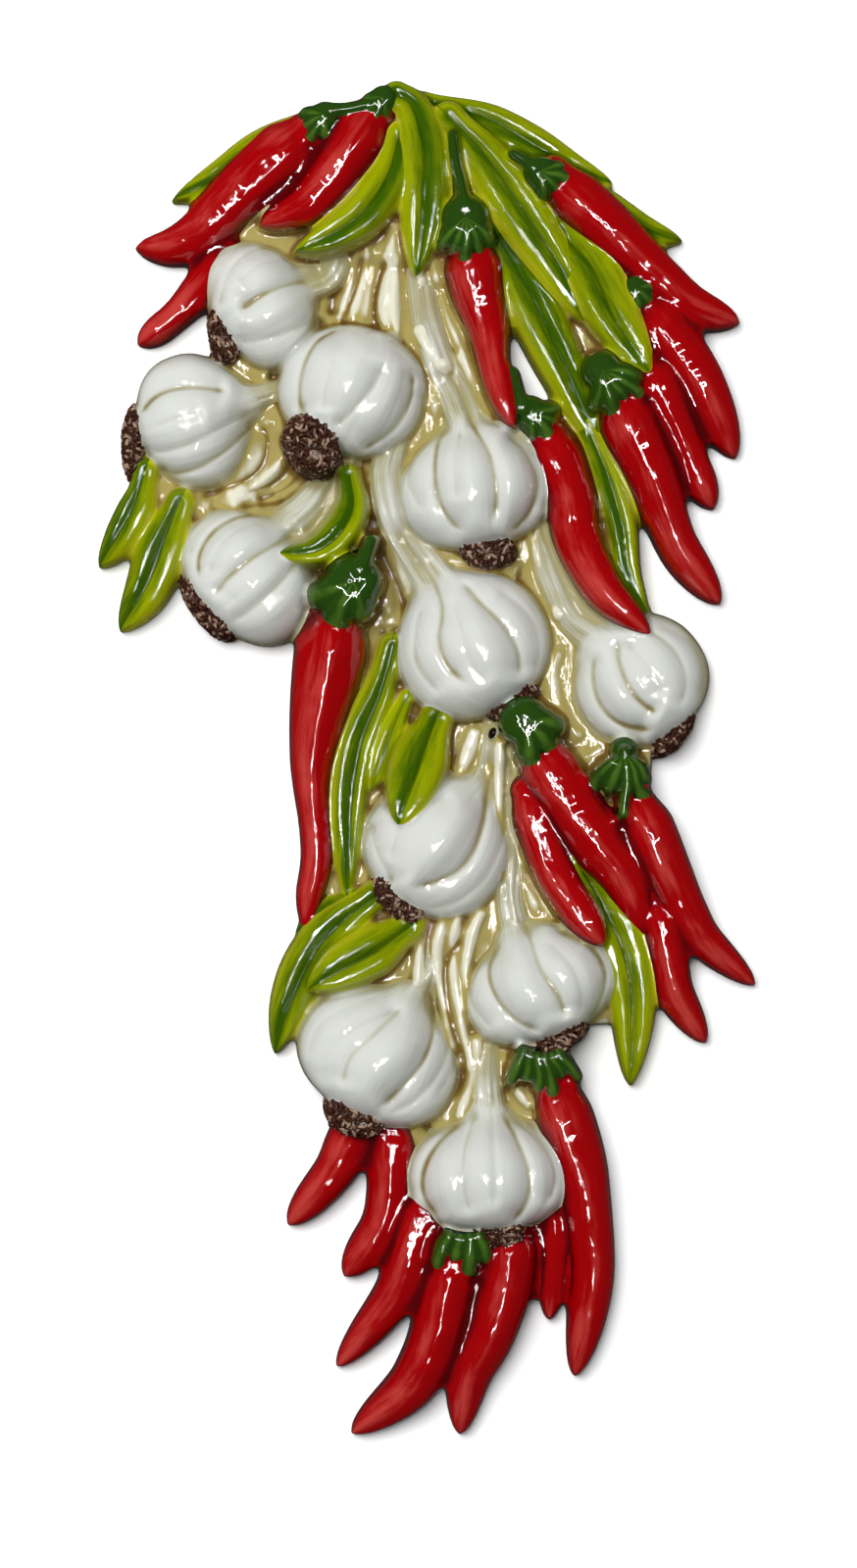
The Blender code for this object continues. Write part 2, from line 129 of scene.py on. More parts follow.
WALL_SLOPE = 14.0  # how steeply a part falls away outside its edge
NOWHERE = -30.0  # a height well under the back
SPAN_SAMPLES = 24  # places worked out between two knots of a course
GROOVE_BASE = 0.3  # half the width of the stain in a groove of no width


def smooth_step(low: float, high: float, value: Array) -> Array:
    """Rises smoothly from 0 at low to 1 at high."""
    t = np.clip((value - low) / (high - low), 0.0, 1.0)
    return t * t * (3 - 2 * t)


def rounded(across: Array, power: float = 0.5) -> Array:
    """Gives a section that is 1 in its middle and 0 from its edges on; a power of 0.5 is round."""
    return np.clip(1 - across * across, 0.0, 1.0) ** power


def wall(side: Array, half_width: Array | float) -> Array:
    """Gives how far a part has fallen away beyond its edges."""
    return WALL_SLOPE * np.maximum(np.abs(side) - half_width, 0.0)


def soft_max(a: Array, b: Array, blend: float) -> Array:
    """Gives the higher of two reliefs, rounded over the seam by about blend millimetres."""
    return 0.5 * (a + b + np.sqrt((a - b) ** 2 + blend**2))


def smooth_course(points: tuple[Point, ...], step: float = 1.5) -> tuple[Array, Array]:
    """Runs a smooth curve through points.

    Args:
        points: The points that the curve passes.
        step: Distance between the points given back.

    Returns:
        Evenly spaced points, and how far along each one is in millimetres.
    """
    knots = np.array(points, float)
    padded = np.vstack([2 * knots[0] - knots[1], knots, 2 * knots[-1] - knots[-2]])
    t = np.linspace(0, 1, SPAN_SAMPLES, endpoint=False)[:, None]
    fine = []
    for i in range(1, len(padded) - 2):
        a, b, c, d = padded[i - 1 : i + 3]
        bend = (2 * a - 5 * b + 4 * c - d) * t**2 + (3 * b - a - 3 * c + d) * t**3
        fine.append(0.5 * (2 * b + (c - a) * t + bend))
    curve = np.vstack([*fine, knots[-1:]])
    run = np.concatenate([[0.0], np.cumsum(np.linalg.norm(np.diff(curve, axis=0), axis=1))])
    even = np.linspace(0.0, run[-1], max(5, round(run[-1] / step) + 1))
    line = np.stack([np.interp(even, run, curve[:, k]) for k in range(curve.shape[1])], axis=1)
    return line, even


def follow(line: Array, run: Array, x: Array, y: Array) -> tuple[Array, Array]:
    """Finds where spots lie beside a course.

    Args:
        line: Points of the course.
        run: How far along each point is.
        x: Spots' x.
        y: Spots' y.

    Returns:
        Millimetres along the course, and millimetres to its side, which are positive on the left.
    """
    start, step = line[:-1], np.diff(line, axis=0)
    span = (step**2).sum(1)
    best = np.full(x.shape, np.inf)
    along = np.zeros(x.shape)
    side = np.zeros(x.shape)
    for (ax, ay), (dx, dy), size, r0, r1 in zip(start, step, span, run[:-1], run[1:]):
        t = np.clip(((x - ax) * dx + (y - ay) * dy) / size, 0.0, 1.0)
        ex, ey = x - ax - t * dx, y - ay - t * dy
        far = ex * ex + ey * ey
        nearer = far < best
        best = np.where(nearer, far, best)
        along = np.where(nearer, r0 + t * (r1 - r0), along)
        side = np.where(nearer, np.sign(dx * ey - dy * ex), side)
    return along, np.sqrt(best) * np.where(side == 0, 1.0, side)


class Lumps:
    """Smooth unevenness of the modeller's hand, the same each time for the same seed."""

    def __init__(self, seed: int, size: int = 48) -> None:
        """Draws the table of random heights."""
        self.size = size
        self.table = np.random.default_rng(seed).uniform(-1.0, 1.0, (size, size))

    def at(self, u: Array, v: Array) -> Array:
        """Reads the unevenness at places, from -1 to 1, one lump to a unit."""
        i, j = np.floor(u).astype(int), np.floor(v).astype(int)
        fu, fv = u - i, v - j
        fu, fv = fu * fu * (3 - 2 * fu), fv * fv * (3 - 2 * fv)
        table, size = self.table, self.size
        low = table[i % size, j % size] * (1 - fu) + table[(i + 1) % size, j % size] * fu
        high = table[i % size, (j + 1) % size] * (1 - fu) + table[(i + 1) % size, (j + 1) % size] * fu
        return low * (1 - fv) + high * fv


class Groove(NamedTuple):
    """A line drawn into the relief with a modelling tool."""

    course: tuple[Point, ...]
    depth: float = 3.0
    width: float = 1.3

    def section(self, side: Array) -> Array:
        """Gives the share of its depth at a distance from it: a sharp line in a soft valley."""
        sharp = np.exp(-np.abs(side) / self.width)
        valley = np.exp(-((side / (4.6 * self.width)) ** 2))
        return 0.45 * sharp + 0.55 * valley

    def stain(self, side: Array) -> Array:
        """Gives how much glaze has run into it at a distance from it, most in a deep one."""
        fullest = min(1.0, self.depth / 5.0)
        return fullest * np.exp(-((side / (GROOVE_BASE + 0.8 * self.width)) ** 2))

    def fading(self, share: Array) -> Array:
        """Gives how strongly it is drawn along its course, less towards both ends."""
        return smooth_step(0.0, 0.16, share) * smooth_step(0.0, 0.14, 1 - share)


def draw_lines(x: Array, y: Array, grooves: tuple[Groove, ...]) -> tuple[Array, Array]:
    """Works out what grooves do to a relief.

    Args:
        x: Spots' x.
        y: Spots' y.
        grooves: The lines to draw.

    Returns:
        The height that they take away, nought or less, and how much of a line each spot is, 0 to 1.
    """
    taken, drawn = np.zeros(x.shape), np.zeros(x.shape)
    for groove in grooves:
        line, run = smooth_course(groove.course)
        low, high = box_round(line, 11 * groove.width + 3)
        near = (x >= low[0]) & (x <= high[0]) & (y >= low[1]) & (y <= high[1])
        if not near.any():
            continue
        along, side = follow(line, run, x[near], y[near])
        ends = groove.fading(along / run[-1])
        taken[near] -= groove.depth * ends * groove.section(side)
        drawn[near] = np.maximum(drawn[near], ends * groove.stain(side))
    return taken, drawn


def lobes(value: Array, dips: tuple[float, ...], roundness: float) -> Array:
    """Rounded swellings between dips.

    Args:
        value: Place across the part, -1 to 1.
        dips: Where the dips run, in rising order.
        roundness: Power of the swelling; smaller is fuller.

    Returns:
        1 on the crest of each swelling, 0 in each dip.
    """
    marks = np.array([-1.35, *dips, 1.35])
    index = np.clip(np.searchsorted(marks, value) - 1, 0, len(marks) - 2)
    t = np.clip((value - marks[index]) / (marks[index + 1] - marks[index]), 0.0, 1.0)
    return np.sin(np.pi * t) ** roundness


# ---- parts ----


@dataclass
class Part(ABC):
    """One thing modelled on the plate."""

    name: str

    kind: ClassVar[Kind]

    @abstractmethod
    def reach(self) -> tuple[Point, Point]:
        """Gives the box on the plate outside which it never stands."""

    @abstractmethod
    def relief(self, x: Array, y: Array) -> Relief:
        """Works out its relief over a window of the plate."""

    @property
    def seed(self) -> int:
        """A number of its own for what is uneven about it."""
        return sum((i + 1) * ord(letter) for i, letter in enumerate(self.name)) % 9973


def box_round(points: Array, margin: float) -> tuple[Point, Point]:
    """Gives the box round some points with a margin."""
    low, high = points.min(0) - margin, points.max(0) + margin
    return (float(low[0]), float(low[1])), (float(high[0]), float(high[1]))


@dataclass
class Chilli(Part):
    """A pepper that tapers from its cap to its tip."""

    half_width: float
    taper: float  # its width before the tip, as a share of the greatest
    tip_start: float  # where the tip starts, out of its length
    crown: float
    tip_height: float
    course: tuple[Point, ...]
    lump: float = 0.75  # how lumpy the hand has left it

    CAP_WIDTH = 0.72  # its width under the cap, as a share of the greatest
    TIP_POWER = 2.2  # how late it narrows to its tip
    FULLNESS = 0.55  # power of its section; 0.5 is round

    kind = Kind.CHILLI

    def reach(self) -> tuple[Point, Point]:
        """Gives its box."""
        return box_round(smooth_course(self.course)[0], self.half_width + 7)

    def half_widths(self, share: Array) -> Array:
        """Gives half its width: a quick rise at the cap, a slow taper and a rounded tip."""
        shoulder = self.CAP_WIDTH + (1 - self.CAP_WIDTH) * smooth_step(0.0, 0.16, share)
        body = 1 - (1 - self.taper) * smooth_step(0.1, 0.7, share)
        tip = np.clip((share - self.tip_start) / (1 - self.tip_start), 0.0, 1.0)
        return self.half_width * shoulder * body * np.clip(1 - tip**self.TIP_POWER, 0.004, 1.0) ** 0.6

    def relief(self, x: Array, y: Array) -> Relief:
        """Works out a rounded section that the hand has left slightly lumpy and pinched."""
        line, run = smooth_course(self.course)
        along, side = follow(line, run, x, y)
        share = along / run[-1]
        width = self.half_widths(share)
        start = self.crown - self.half_width
        edge = start + (self.tip_height - start) * smooth_step(0.2, 1.05, share)
        u = side / width
        inside = rounded(u, 1)
        uneven = Lumps(self.seed)
        swell = uneven.at(along / 13.0 + 3, u * 0.8 + 7) + 0.35 * uneven.at(along / 6.0 + 11, u * 1.3 + 2)
        pinch = uneven.at(along / 24.0 + 5, u * 1.9 + 19)
        ripple = 0.16 * uneven.at(along / 4.2 + 21, u * 1.1 + 5)
        lumpy = (self.lump * (swell * 0.5 + pinch * 0.75) + ripple) * (width / 10.0) * inside
        height = edge + width * inside**self.FULLNESS + lumpy - wall(side, width)
        tone = uneven.at(along / 20.0, u * 0.8) * 0.5 + 0.5
        return Relief(height, along, side, share, np.clip(u, -1, 1), tone)


@dataclass
class Leaf(Part):
    """A long leaf of two lobes with a fold between them."""

    half_width: float
    edge: float
    tip_edge: float
    fold: float  # where the fold runs, -1 to 1, positive on the left as it grows
    left: float  # how green its left lobe is; 0 is lime
    right: float
    course: tuple[Point, ...]
    rise: float = 5.4  # how far its middle stands over its edge

    BASE_WIDTH = 0.6  # its width where it grows, as a share of the greatest
    POINT_START = 0.45  # where it starts to narrow to its point, out of its length
    FOLD_BLEND = 0.16  # half the width over which one green turns into the other

    kind = Kind.LEAF

    def reach(self) -> tuple[Point, Point]:
        """Gives its box."""
        return box_round(smooth_course(self.course)[0], self.half_width + 6)

    def half_widths(self, share: Array) -> Array:
        """Gives half its width: it swells from its base and runs out to a blunt point."""
        base = self.BASE_WIDTH + (1 - self.BASE_WIDTH) * smooth_step(0.0, 0.4, share)
        point = np.clip((share - self.POINT_START) / (1 - self.POINT_START), 0.0, 1.0)
        return self.half_width * base * np.clip(1 - point**2, 0.004, 1.0) ** 0.7

    def relief(self, x: Array, y: Array) -> Relief:
        """Works out the two lobes, the fold, and which glaze each lobe wears."""
        line, run = smooth_course(self.course)
        along, side = follow(line, run, x, y)
        share = along / run[-1]
        width = self.half_widths(share)
        v = side / width
        uneven = Lumps(self.seed)
        fold = self.fold + 0.12 * uneven.at(along / 22.0, along * 0 + 0.5)
        across = np.clip(v, -1.0, 1.0)
        left_share = np.clip((1 - across) / (1 - fold), 0.0, 1.0)
        right_share = np.clip((across + 1) / (1 + fold), 0.0, 1.0)
        t = np.where(across > fold, left_share, right_share)
        lobe = rounded(2 * t - 1, 0.6)
        arch = rounded(across)
        rise = self.rise * (width / self.half_width) ** 0.7
        edge = self.edge + (self.tip_edge - self.edge) * share
        lumpy = 0.3 * uneven.at(along / 26.0 + 9, v * 1.6 + 4) * arch
        lumpy += 0.12 * uneven.at(along / 20.0 + 2, v * 5.0 + 14) * arch
        height = edge + rise * (0.45 * arch + 0.6 * lobe) + lumpy - wall(side, width)
        blend = smooth_step(-self.FOLD_BLEND, self.FOLD_BLEND, across - fold)
        tone = self.right + (self.left - self.right) * blend
        return Relief(height, along, side, share, across - fold, tone)


@dataclass
class Garlic(Part):
    """A head of garlic between the foot of its neck and its root plate, with its stalk."""

    neck: Point
    root: Point
    half_width: float
    crown: float
    cloves: tuple[float, ...]
    stalk_width: float
    stalk: tuple[Point, ...]
    grooves: tuple[Groove, ...]
    swirl: float = 0.0  # how far its cloves turn round it from neck to root
    blunt: bool = False  # seen from its side, with no neck

    CLOVE_DEPTH = 0.03  # how deep the dips between its cloves are, out of its half width
    START, END = -0.02, 1.03  # where its outline starts and ends, out of its length
    OUTLINE = (  # places along it, and its radius there as a share of the greatest
        (START, 0.0), (0.0, 0.22), (0.1, 0.42), (0.2, 0.66), (0.3, 0.84), (0.42, 0.96), (0.55, 1.0),
        (0.7, 0.97), (0.82, 0.86), (0.92, 0.66), (0.985, 0.38), (END, 0.0),
    )

    kind = Kind.GARLIC

    def reach(self) -> tuple[Point, Point]:
        """Gives the box of its head and stalk."""
        head = box_round(np.array([self.neck, self.root]), self.half_width + 8)
        stalk = box_round(smooth_course(self.stalk)[0], self.stalk_width + 6)
        low = min(head[0][0], stalk[0][0]), min(head[0][1], stalk[0][1])
        high = max(head[1][0], stalk[1][0]), max(head[1][1], stalk[1][1])
        return low, high

    def radii(self, share: Array) -> Array:
        """Gives its radius along the head, as a share of the greatest."""
        if self.blunt:
            return np.sqrt(np.clip(1 - np.abs(2 * share - 1) ** 2.15, 0.0, 1.0))
        curve, _ = smooth_course(self.OUTLINE, 0.01)
        radius = np.interp(share, curve[:, 0], curve[:, 1])
        return np.where((share < self.START) | (share > self.END), 0.0, np.clip(radius, 0.0, 1.0))

    def relief(self, x: Array, y: Array) -> Relief:
        """Works out the round head, the dips between its cloves, and the stalk that it hangs by."""
        neck, root = np.array(self.neck, float), np.array(self.root, float)
        axis = root - neck
        length = float(np.linalg.norm(axis))
        axis /= length
        px, py = x - neck[0], y - neck[1]
        share = (px * axis[0] + py * axis[1]) / length
        across = axis[0] * py - axis[1] * px
        radius = self.radii(share) * self.half_width
        v = np.clip(across / np.maximum(radius, 0.5), -1.0, 1.0)
        middle = self.crown - self.half_width
        body = np.sqrt(np.clip(radius**2 - across**2, 0.0, None))
        past_end = np.maximum(np.maximum(share - self.END, self.START - share), 0.0) * length
        beyond = np.hypot(np.maximum(np.abs(across) - radius, 0.0), past_end)
        meridian = v + self.swirl * (share - 0.6) * (1 - v * v)
        inside = np.clip(body / self.half_width * 2, 0, 1)
        head = middle + body + self.skin(meridian, share, v) * inside - WALL_SLOPE * beyond
        stalk, s_share, u = self.hang(x, y, middle)
        height = soft_max(head, stalk, 3.0) + draw_lines(x, y, self.grooves)[0]
        on_stalk = smooth_step(-1.0, 2.0, stalk - head)
        side = np.where(stalk > head, np.clip(u, -1, 1), meridian)
        share_out = share * (1 - on_stalk) - 0.5 * s_share * on_stalk
        return Relief(height, share * length, v * self.half_width, share_out, side, on_stalk)

    def skin(self, meridian: Array, share: Array, v: Array) -> Array:
        """Works out the dips between the cloves and the pleats of the skin.

        Args:
            meridian: Place round the head, which follows the swirl of its cloves.
            share: Place along it, 0 at its neck and 1 at its root.
            v: Place across it, -1 to 1.

        Returns:
            Millimetres to add to the round head.
        """
        swell = lobes(meridian, self.cloves, 0.42)
        fade = smooth_step(0.08, 0.5, share) * (1 - 0.3 * smooth_step(0.85, 1.0, share))
        dip = self.CLOVE_DEPTH * self.half_width * (swell - 1) * fade * rounded(v) ** 0.5
        uneven = Lumps(self.seed)
        broad = 0.4 * uneven.at(meridian * 3.0 + 9, share * 2.4)
        pleats = 0.22 * uneven.at(meridian * 8 + 30, share * 1.6 + 8)
        fine = 0.07 * uneven.at(meridian * 19 + 3, share * 2.2 + 17)
        return dip + (broad + pleats + fine)

    def hang(self, x: Array, y: Array, middle: float) -> tuple[Array, Array, Array]:
        """Works out the stalk.

        Args:
            x: Spots' x.
            y: Spots' y.
            middle: Height of the middle of the head.

        Returns:
            Its relief, the place along it from 0 to 1, and the place across it in half widths.
        """
        line, run = smooth_course(self.stalk)
        along, side = follow(line, run, x, y)
        share = along / run[-1]
        width = self.stalk_width * (1 - 0.35 * share)
        u = side / width
        waver = 1.5 * Lumps(self.seed).at(along / 12.0, u * 0)
        strands = 0.5 * np.cos(u * 7.5 + waver) * rounded(u, 1)
        top = middle + 4.8 - 1.6 * share + width * 0.8 * rounded(u) + strands
        return top - wall(side, width), share, u


@dataclass
class Calyx(Part):
    """The green cap of a pepper: petals that fan out from its stem over the pepper's shoulder."""

    joint: Point
    towards: float  # degrees, the way that the middle petal points
    spread: float  # degrees from the first petal's edge to the last one's
    length: float
    petals: int
    edge: float
    rise: float
    stem: tuple[Point, ...] = ()
    stem_width: float = 2.4
    tuck: float = -1.0  # how far out of its length it comes from under what covers it
    hood: float = 0.24  # how far out of its length the middle of its dome lies from the joint
    furrow: float = 1.5  # how deep the furrows between its petals are

    SUNK = 16.0  # how far down it goes where what covers it hides it

    kind = Kind.CALYX

    def reach(self) -> tuple[Point, Point]:
        """Gives the box of its petals and stem."""
        points = np.array([self.joint, *self.stem], float)
        return box_round(points, self.length + 5)

    def relief(self, x: Array, y: Array) -> Relief:
        """Works out the petals and the stem."""
        hood = 0.0 if self.tuck > 0 else self.hood
        length, way = self.length * (1 - 0.9 * hood), math.radians(self.towards)
        px = x - self.joint[0] - hood * self.length * math.cos(way)
        py = y - self.joint[1] - hood * self.length * math.sin(way)
        r = np.hypot(px, py)
        uneven = Lumps(self.seed)
        turn = np.arctan2(py, px) - way
        turn = (turn + math.pi) % (2 * math.pi) - math.pi
        half = math.radians(self.spread) / 2
        t = turn / half + 0.10 * uneven.at(r / 6.0 + 3, turn * 1.5 + 9)
        fan = 1 - smooth_step(0.92, 1.3, np.abs(t))
        petal = np.abs(np.sin(np.pi * self.petals * (np.clip(t, -1, 1) + 1) / 2))
        number = np.floor(self.petals * (np.clip(t, -0.999, 0.999) + 1) / 2)
        uneven_length = 1 + 0.12 * np.sin(number * 2.4 + self.seed)
        outline = length * uneven_length * (0.86 + 0.14 * petal**0.5) * (1 - 0.12 * t * t * fan)
        outline = outline * fan + (0.28 + 1.3 * hood) * length * (1 - fan)
        share = r / outline
        beyond = np.maximum(r - outline, 0.0)
        dome = np.clip(1 - share**3.0, 0.0, 1.0) ** 0.5
        pleat = (petal**0.6 - 1) * smooth_step(0.3, 0.8, share) * dome
        swell = 0.3 * uneven.at(px / 5.0 + 5, py / 5.0 + 11)
        height = self.edge + self.rise * dome + self.furrow * pleat * fan + swell - WALL_SLOPE * beyond
        if self.tuck > 0:
            height = height - self.SUNK * (1 - smooth_step(self.tuck - 0.08, self.tuck + 0.08, r / length))
        if self.stem:
            height = soft_max(height, self.stem_relief(x, y), 1.4)
        return Relief(height, r, turn * 8.0, np.clip(share, 0, 1), t, petal * fan)

    def stem_relief(self, x: Array, y: Array) -> Array:
        """Works out the height of the stem, a rod that thins away from the cap."""
        line, run = smooth_course((self.joint, *self.stem))
        along, side = follow(line, run, x, y)
        width = self.stem_width * (1.25 - 0.4 * along / run[-1])
        return self.edge + self.rise * 0.7 + width * 0.9 * rounded(side / width) - wall(side, width)


@dataclass
class RootPlate(Part):
    """The oval plate of cut rootlets under a head."""

    centre: Point
    radius: tuple[float, float]
    turn: float
    edge: float
    rise: float = 3.2

    kind = Kind.ROOT

    def reach(self) -> tuple[Point, Point]:
        """Gives its box."""
        return box_round(np.array([self.centre], float), max(self.radius) + 6)

    def relief(self, x: Array, y: Array) -> Relief:
        """Works out a low cushion with a ragged rim."""
        c, s = math.cos(math.radians(self.turn)), math.sin(math.radians(self.turn))
        px, py = x - self.centre[0], y - self.centre[1]
        p, q = (px * c + py * s) / self.radius[0], (-px * s + py * c) / self.radius[1]
        r, angle = np.hypot(p, q), np.arctan2(q, p)
        ragged = 1 + 0.06 * Lumps(self.seed).at(angle * 3.0 + 12, r * 0 + 0.5)
        t = r / ragged
        beyond = np.maximum(t - 1, 0.0) * min(self.radius)
        height = self.edge + self.rise * np.clip(1 - t**2.5, 0.0, 1.0) ** 0.5 - WALL_SLOPE * beyond
        return Relief(height, p * self.radius[0], q * self.radius[1], np.clip(t, 0, 1), np.clip(q, -1, 1), t)


class Web(NamedTuple):
    """A low stretch of the ground between the stalks."""

    course: tuple[Point, ...]
    half_width: float
    edge: float


class Strand(NamedTuple):
    """One dry stalk that runs over the ground."""

    course: tuple[Point, ...]
    half_width: float
    base: float
    rise: float


@dataclass
class Stalks(Part):
    """The ground of dry stalks: low webs, and the strands that run over them."""

    webs: tuple[Web, ...]
    strands: tuple[Strand, ...]
    grooves: tuple[Groove, ...] = ()
    crown: float = 6.2  # how far the middle of a web stands over its edge
    margin: float = 5.0  # how far round a course its relief is worked out

    WIDENING = 1.15  # how much broader the strands are pressed than they were rolled
    SINKING = 4.0  # how far the ends of a strand go down into the ground

    kind = Kind.STALK

    def reach(self) -> tuple[Point, Point]:
        """Covers the whole plate."""
        return (-116.0, -236.0), (116.0, 236.0)

    def relief(self, x: Array, y: Array) -> Relief:
        """Works out the webs and lays the strands on them."""
        height = np.full(x.shape, NOWHERE)
        for web in self.webs:
            line, run = smooth_course(web.course, 3.0)
            here = self.near(line, web.half_width, x, y)
            _, side = follow(line, run, x[here], y[here])
            rise = self.crown * rounded(side / web.half_width)
            ends = self.past_ends(line, x[here], y[here])
            beyond = np.maximum(np.maximum(np.abs(side) - web.half_width, ends), 0)
            height[here] = soft_max(height[here], web.edge + rise - WALL_SLOPE * beyond, 1.0)
        uneven = Lumps(self.seed)
        for strand in self.strands:
            line, run = smooth_course(strand.course, 2.0)
            here = self.near(line, strand.half_width, x, y)
            along, side = follow(line, run, x[here], y[here])
            top = self.strand_relief(strand, uneven, along, along / run[-1], side)
            height[here] = soft_max(height[here], top, 0.9)
        height = height + 0.3 * uneven.at(x / 4.0, y / 16.0) + draw_lines(x, y, self.grooves)[0]
        flat = np.zeros(x.shape)
        return Relief(height, y.copy(), x.copy(), flat, flat, flat)

    def strand_relief(self, strand: Strand, uneven: Lumps, along: Array, share: Array, side: Array) -> Array:
        """Works out one strand, which wavers a little and sinks away at both ends.

        Args:
            strand: The strand.
            uneven: The unevenness of the hand.
            along: Millimetres along it.
            share: Place along it, 0 to 1.
            side: Millimetres to its side.

        Returns:
            Its height.
        """
        side = side + 0.4 * uneven.at(along / 11.0 + strand.half_width * 7, along * 0 + 0.5)
        ends = 0.35 + 0.65 * smooth_step(0.0, 0.12, share) * smooth_step(0.0, 0.12, 1 - share)
        width = self.WIDENING * strand.half_width * ends
        u = side / width
        ridge = 0.18 * np.cos(u * 5.0 + strand.half_width * 9) * rounded(u, 1)
        top = strand.base - self.SINKING * (1 - ends) + strand.rise * ends * rounded(u) + ridge
        return top - wall(side, width)

    def near(self, line: Array, half_width: float, x: Array, y: Array) -> tuple[Array, ...]:
        """Picks the rows and columns of a grid of spots that a course comes near."""
        low, high = box_round(line, half_width + self.margin)
        rows = np.flatnonzero((y[:, 0] >= low[1]) & (y[:, 0] <= high[1]))
        columns = np.flatnonzero((x[0] >= low[0]) & (x[0] <= high[0]))
        return np.ix_(rows, columns)

    @staticmethod
    def past_ends(line: Array, x: Array, y: Array) -> Array:
        """Gives how far spots lie beyond the two square ends of a course, negative in between."""
        first, last = line[0] - line[1], line[-1] - line[-2]
        first, last = first / np.linalg.norm(first), last / np.linalg.norm(last)
        before = (x - line[0, 0]) * first[0] + (y - line[0, 1]) * first[1]
        after = (x - line[-1, 0]) * last[0] + (y - line[-1, 1]) * last[1]
        near_first = np.hypot(x - line[0, 0], y - line[0, 1]) < np.hypot(x - line[-1, 0], y - line[-1, 1])
        return np.where(near_first, before, after)


# ---- the layout ----


def bold(*course: Point) -> Groove:
    """Draws a deep line between two cloves."""
    return Groove(course, 5.0, 1.35)


def plain(*course: Point) -> Groove:
    """Draws a line between two cloves."""
    return Groove(course)


def fine(*course: Point) -> Groove:
    """Draws a pleat of the skin."""
    return Groove(course, 2.2, 1.1)


PEPPERS = (
    Chilli("chilli_crown_left", 11.0, 0.82, 0.50, 20, 6,
           ((-40, 213), (-55, 200.5), (-66.5, 190), (-77, 179.5), (-87, 174.8), (-99.7, 174.3))),
    Chilli("chilli_crown_inner", 9.9, 0.80, 0.40, 24, 14,
           ((-18, 218.5), (-25, 208.5), (-33, 197), (-42.5, 187.3), (-56.8, 180.8))),
    Chilli("chilli_left_short", 8.0, 0.65, 0.75, 14, 5,
           ((-66, 172), (-78, 159.5), (-87, 150.5), (-99, 141.2))),
    Chilli("chilli_crown_middle", 10.3, 0.52, 0.60, 22, 20,
           ((14, 176), (17, 158), (20.2, 147), (22.3, 134), (25.5, 121), (29.2, 112))),
    Chilli("chilli_middle_right", 9.7, 0.80, 0.50, 19, 21,
           ((39, 113), (48, 90), (50.5, 76), (55.5, 64), (62, 54), (75, 42.3))),
    Chilli("chilli_crown_right", 9.6, 0.80, 0.70, 23, 6,
           ((42, 198), (53, 187.5), (66.5, 175), (79.5, 163), (90, 154.2), (106.5, 149))),
    Chilli("chilli_right_upper", 9.8, 0.85, 0.50, 18, 5,
           ((75, 155), (81, 145), (90, 133), (96.5, 121), (105, 102.5))),
    Chilli("chilli_right_inner", 8.0, 0.75, 0.75, 18, 5,
           ((74, 135), (80, 123), (86, 110), (91.5, 98), (97.4, 85))),
    Chilli("chilli_right_lower", 10.3, 0.68, 0.70, 22, 6,
           ((64, 125), (69, 112), (75.5, 98), (81.5, 82), (87, 70), (99.8, 52.8))),
    Chilli("chilli_left_long", 12.4, 0.43, 0.80, 24, 9,
           ((-31, 52), (-32.5, 38), (-38, 8), (-39.3, -8), (-37.6, -33), (-40.2, -47), (-42, -57))),
    Chilli("chilli_heart_long", 10.4, 0.95, 0.45, 23, 10,
           ((36, 6), (42, -5), (50.5, -18), (58.5, -29.5), (66, -39.5), (75.2, -61))),
    Chilli("chilli_heart_short", 7.8, 0.85, 0.70, 19, 17,
           ((33.5, -11), (37.5, -24), (42, -36), (48, -47), (59.8, -63.3))),
    Chilli("chilli_outer_right", 9.2, 0.72, 0.55, 22, 5,
           ((69.5, -13), (75.2, -25), (82.2, -40), (88.7, -53), (95.4, -63), (111.9, -77.4))),
    Chilli("chilli_outer_low", 6.7, 0.97, 0.55, 16, 5,
           ((77, -47), (80, -60), (82.5, -71), (85, -81), (95, -97.2))),
    Chilli("chilli_foot_right", 9.6, 0.77, 0.65, 21, 6,
           ((41.5, -108), (50.2, -133), (53.4, -148), (56.1, -172), (54.2, -191), (50.2, -211))),
    Chilli("chilli_foot_far_left", 8.2, 0.80, 0.55, 15, 5,
           ((-22.2, -122), (-27.2, -132), (-32.7, -142), (-47.6, -159.4))),
    Chilli("chilli_foot_left", 8.7, 0.80, 0.70, 15, 5,
           ((-11.5, -122), (-12.5, -135), (-13.2, -148), (-16.8, -161), (-28.4, -177))),
    Chilli("chilli_foot_long_left", 8.2, 0.85, 0.50, 17, 5,
           ((2, -146), (-4, -162), (-9, -178), (-15.5, -189), (-31, -207.8))),
    Chilli("chilli_foot_middle", 9.0, 0.93, 0.50, 20, 5,
           ((10, -167), (6.5, -181), (3.5, -194), (-1, -206), (-8.2, -216.5), (-26, -230.5))),
    Chilli("chilli_foot_middle_right", 9.6, 0.90, 0.50, 20, 5,
           ((27.5, -156), (27.5, -171), (25, -184), (20.6, -197), (14, -211), (11, -231))),
    Chilli("chilli_foot_small", 5.4, 0.75, 0.70, 14, 5,
           ((43, -150), (43.5, -165), (42.5, -178), (41.5, -192))),
    Chilli("chilli_foot_gap_left", 4.2, 0.95, 0.80, 9, 4,
           ((35, -152), (36.5, -170), (36.5, -185))),
    Chilli("chilli_foot_gap_right", 4.6, 0.95, 0.80, 10, 4,
           ((47.5, -148), (48, -168), (48, -186.5))),
)

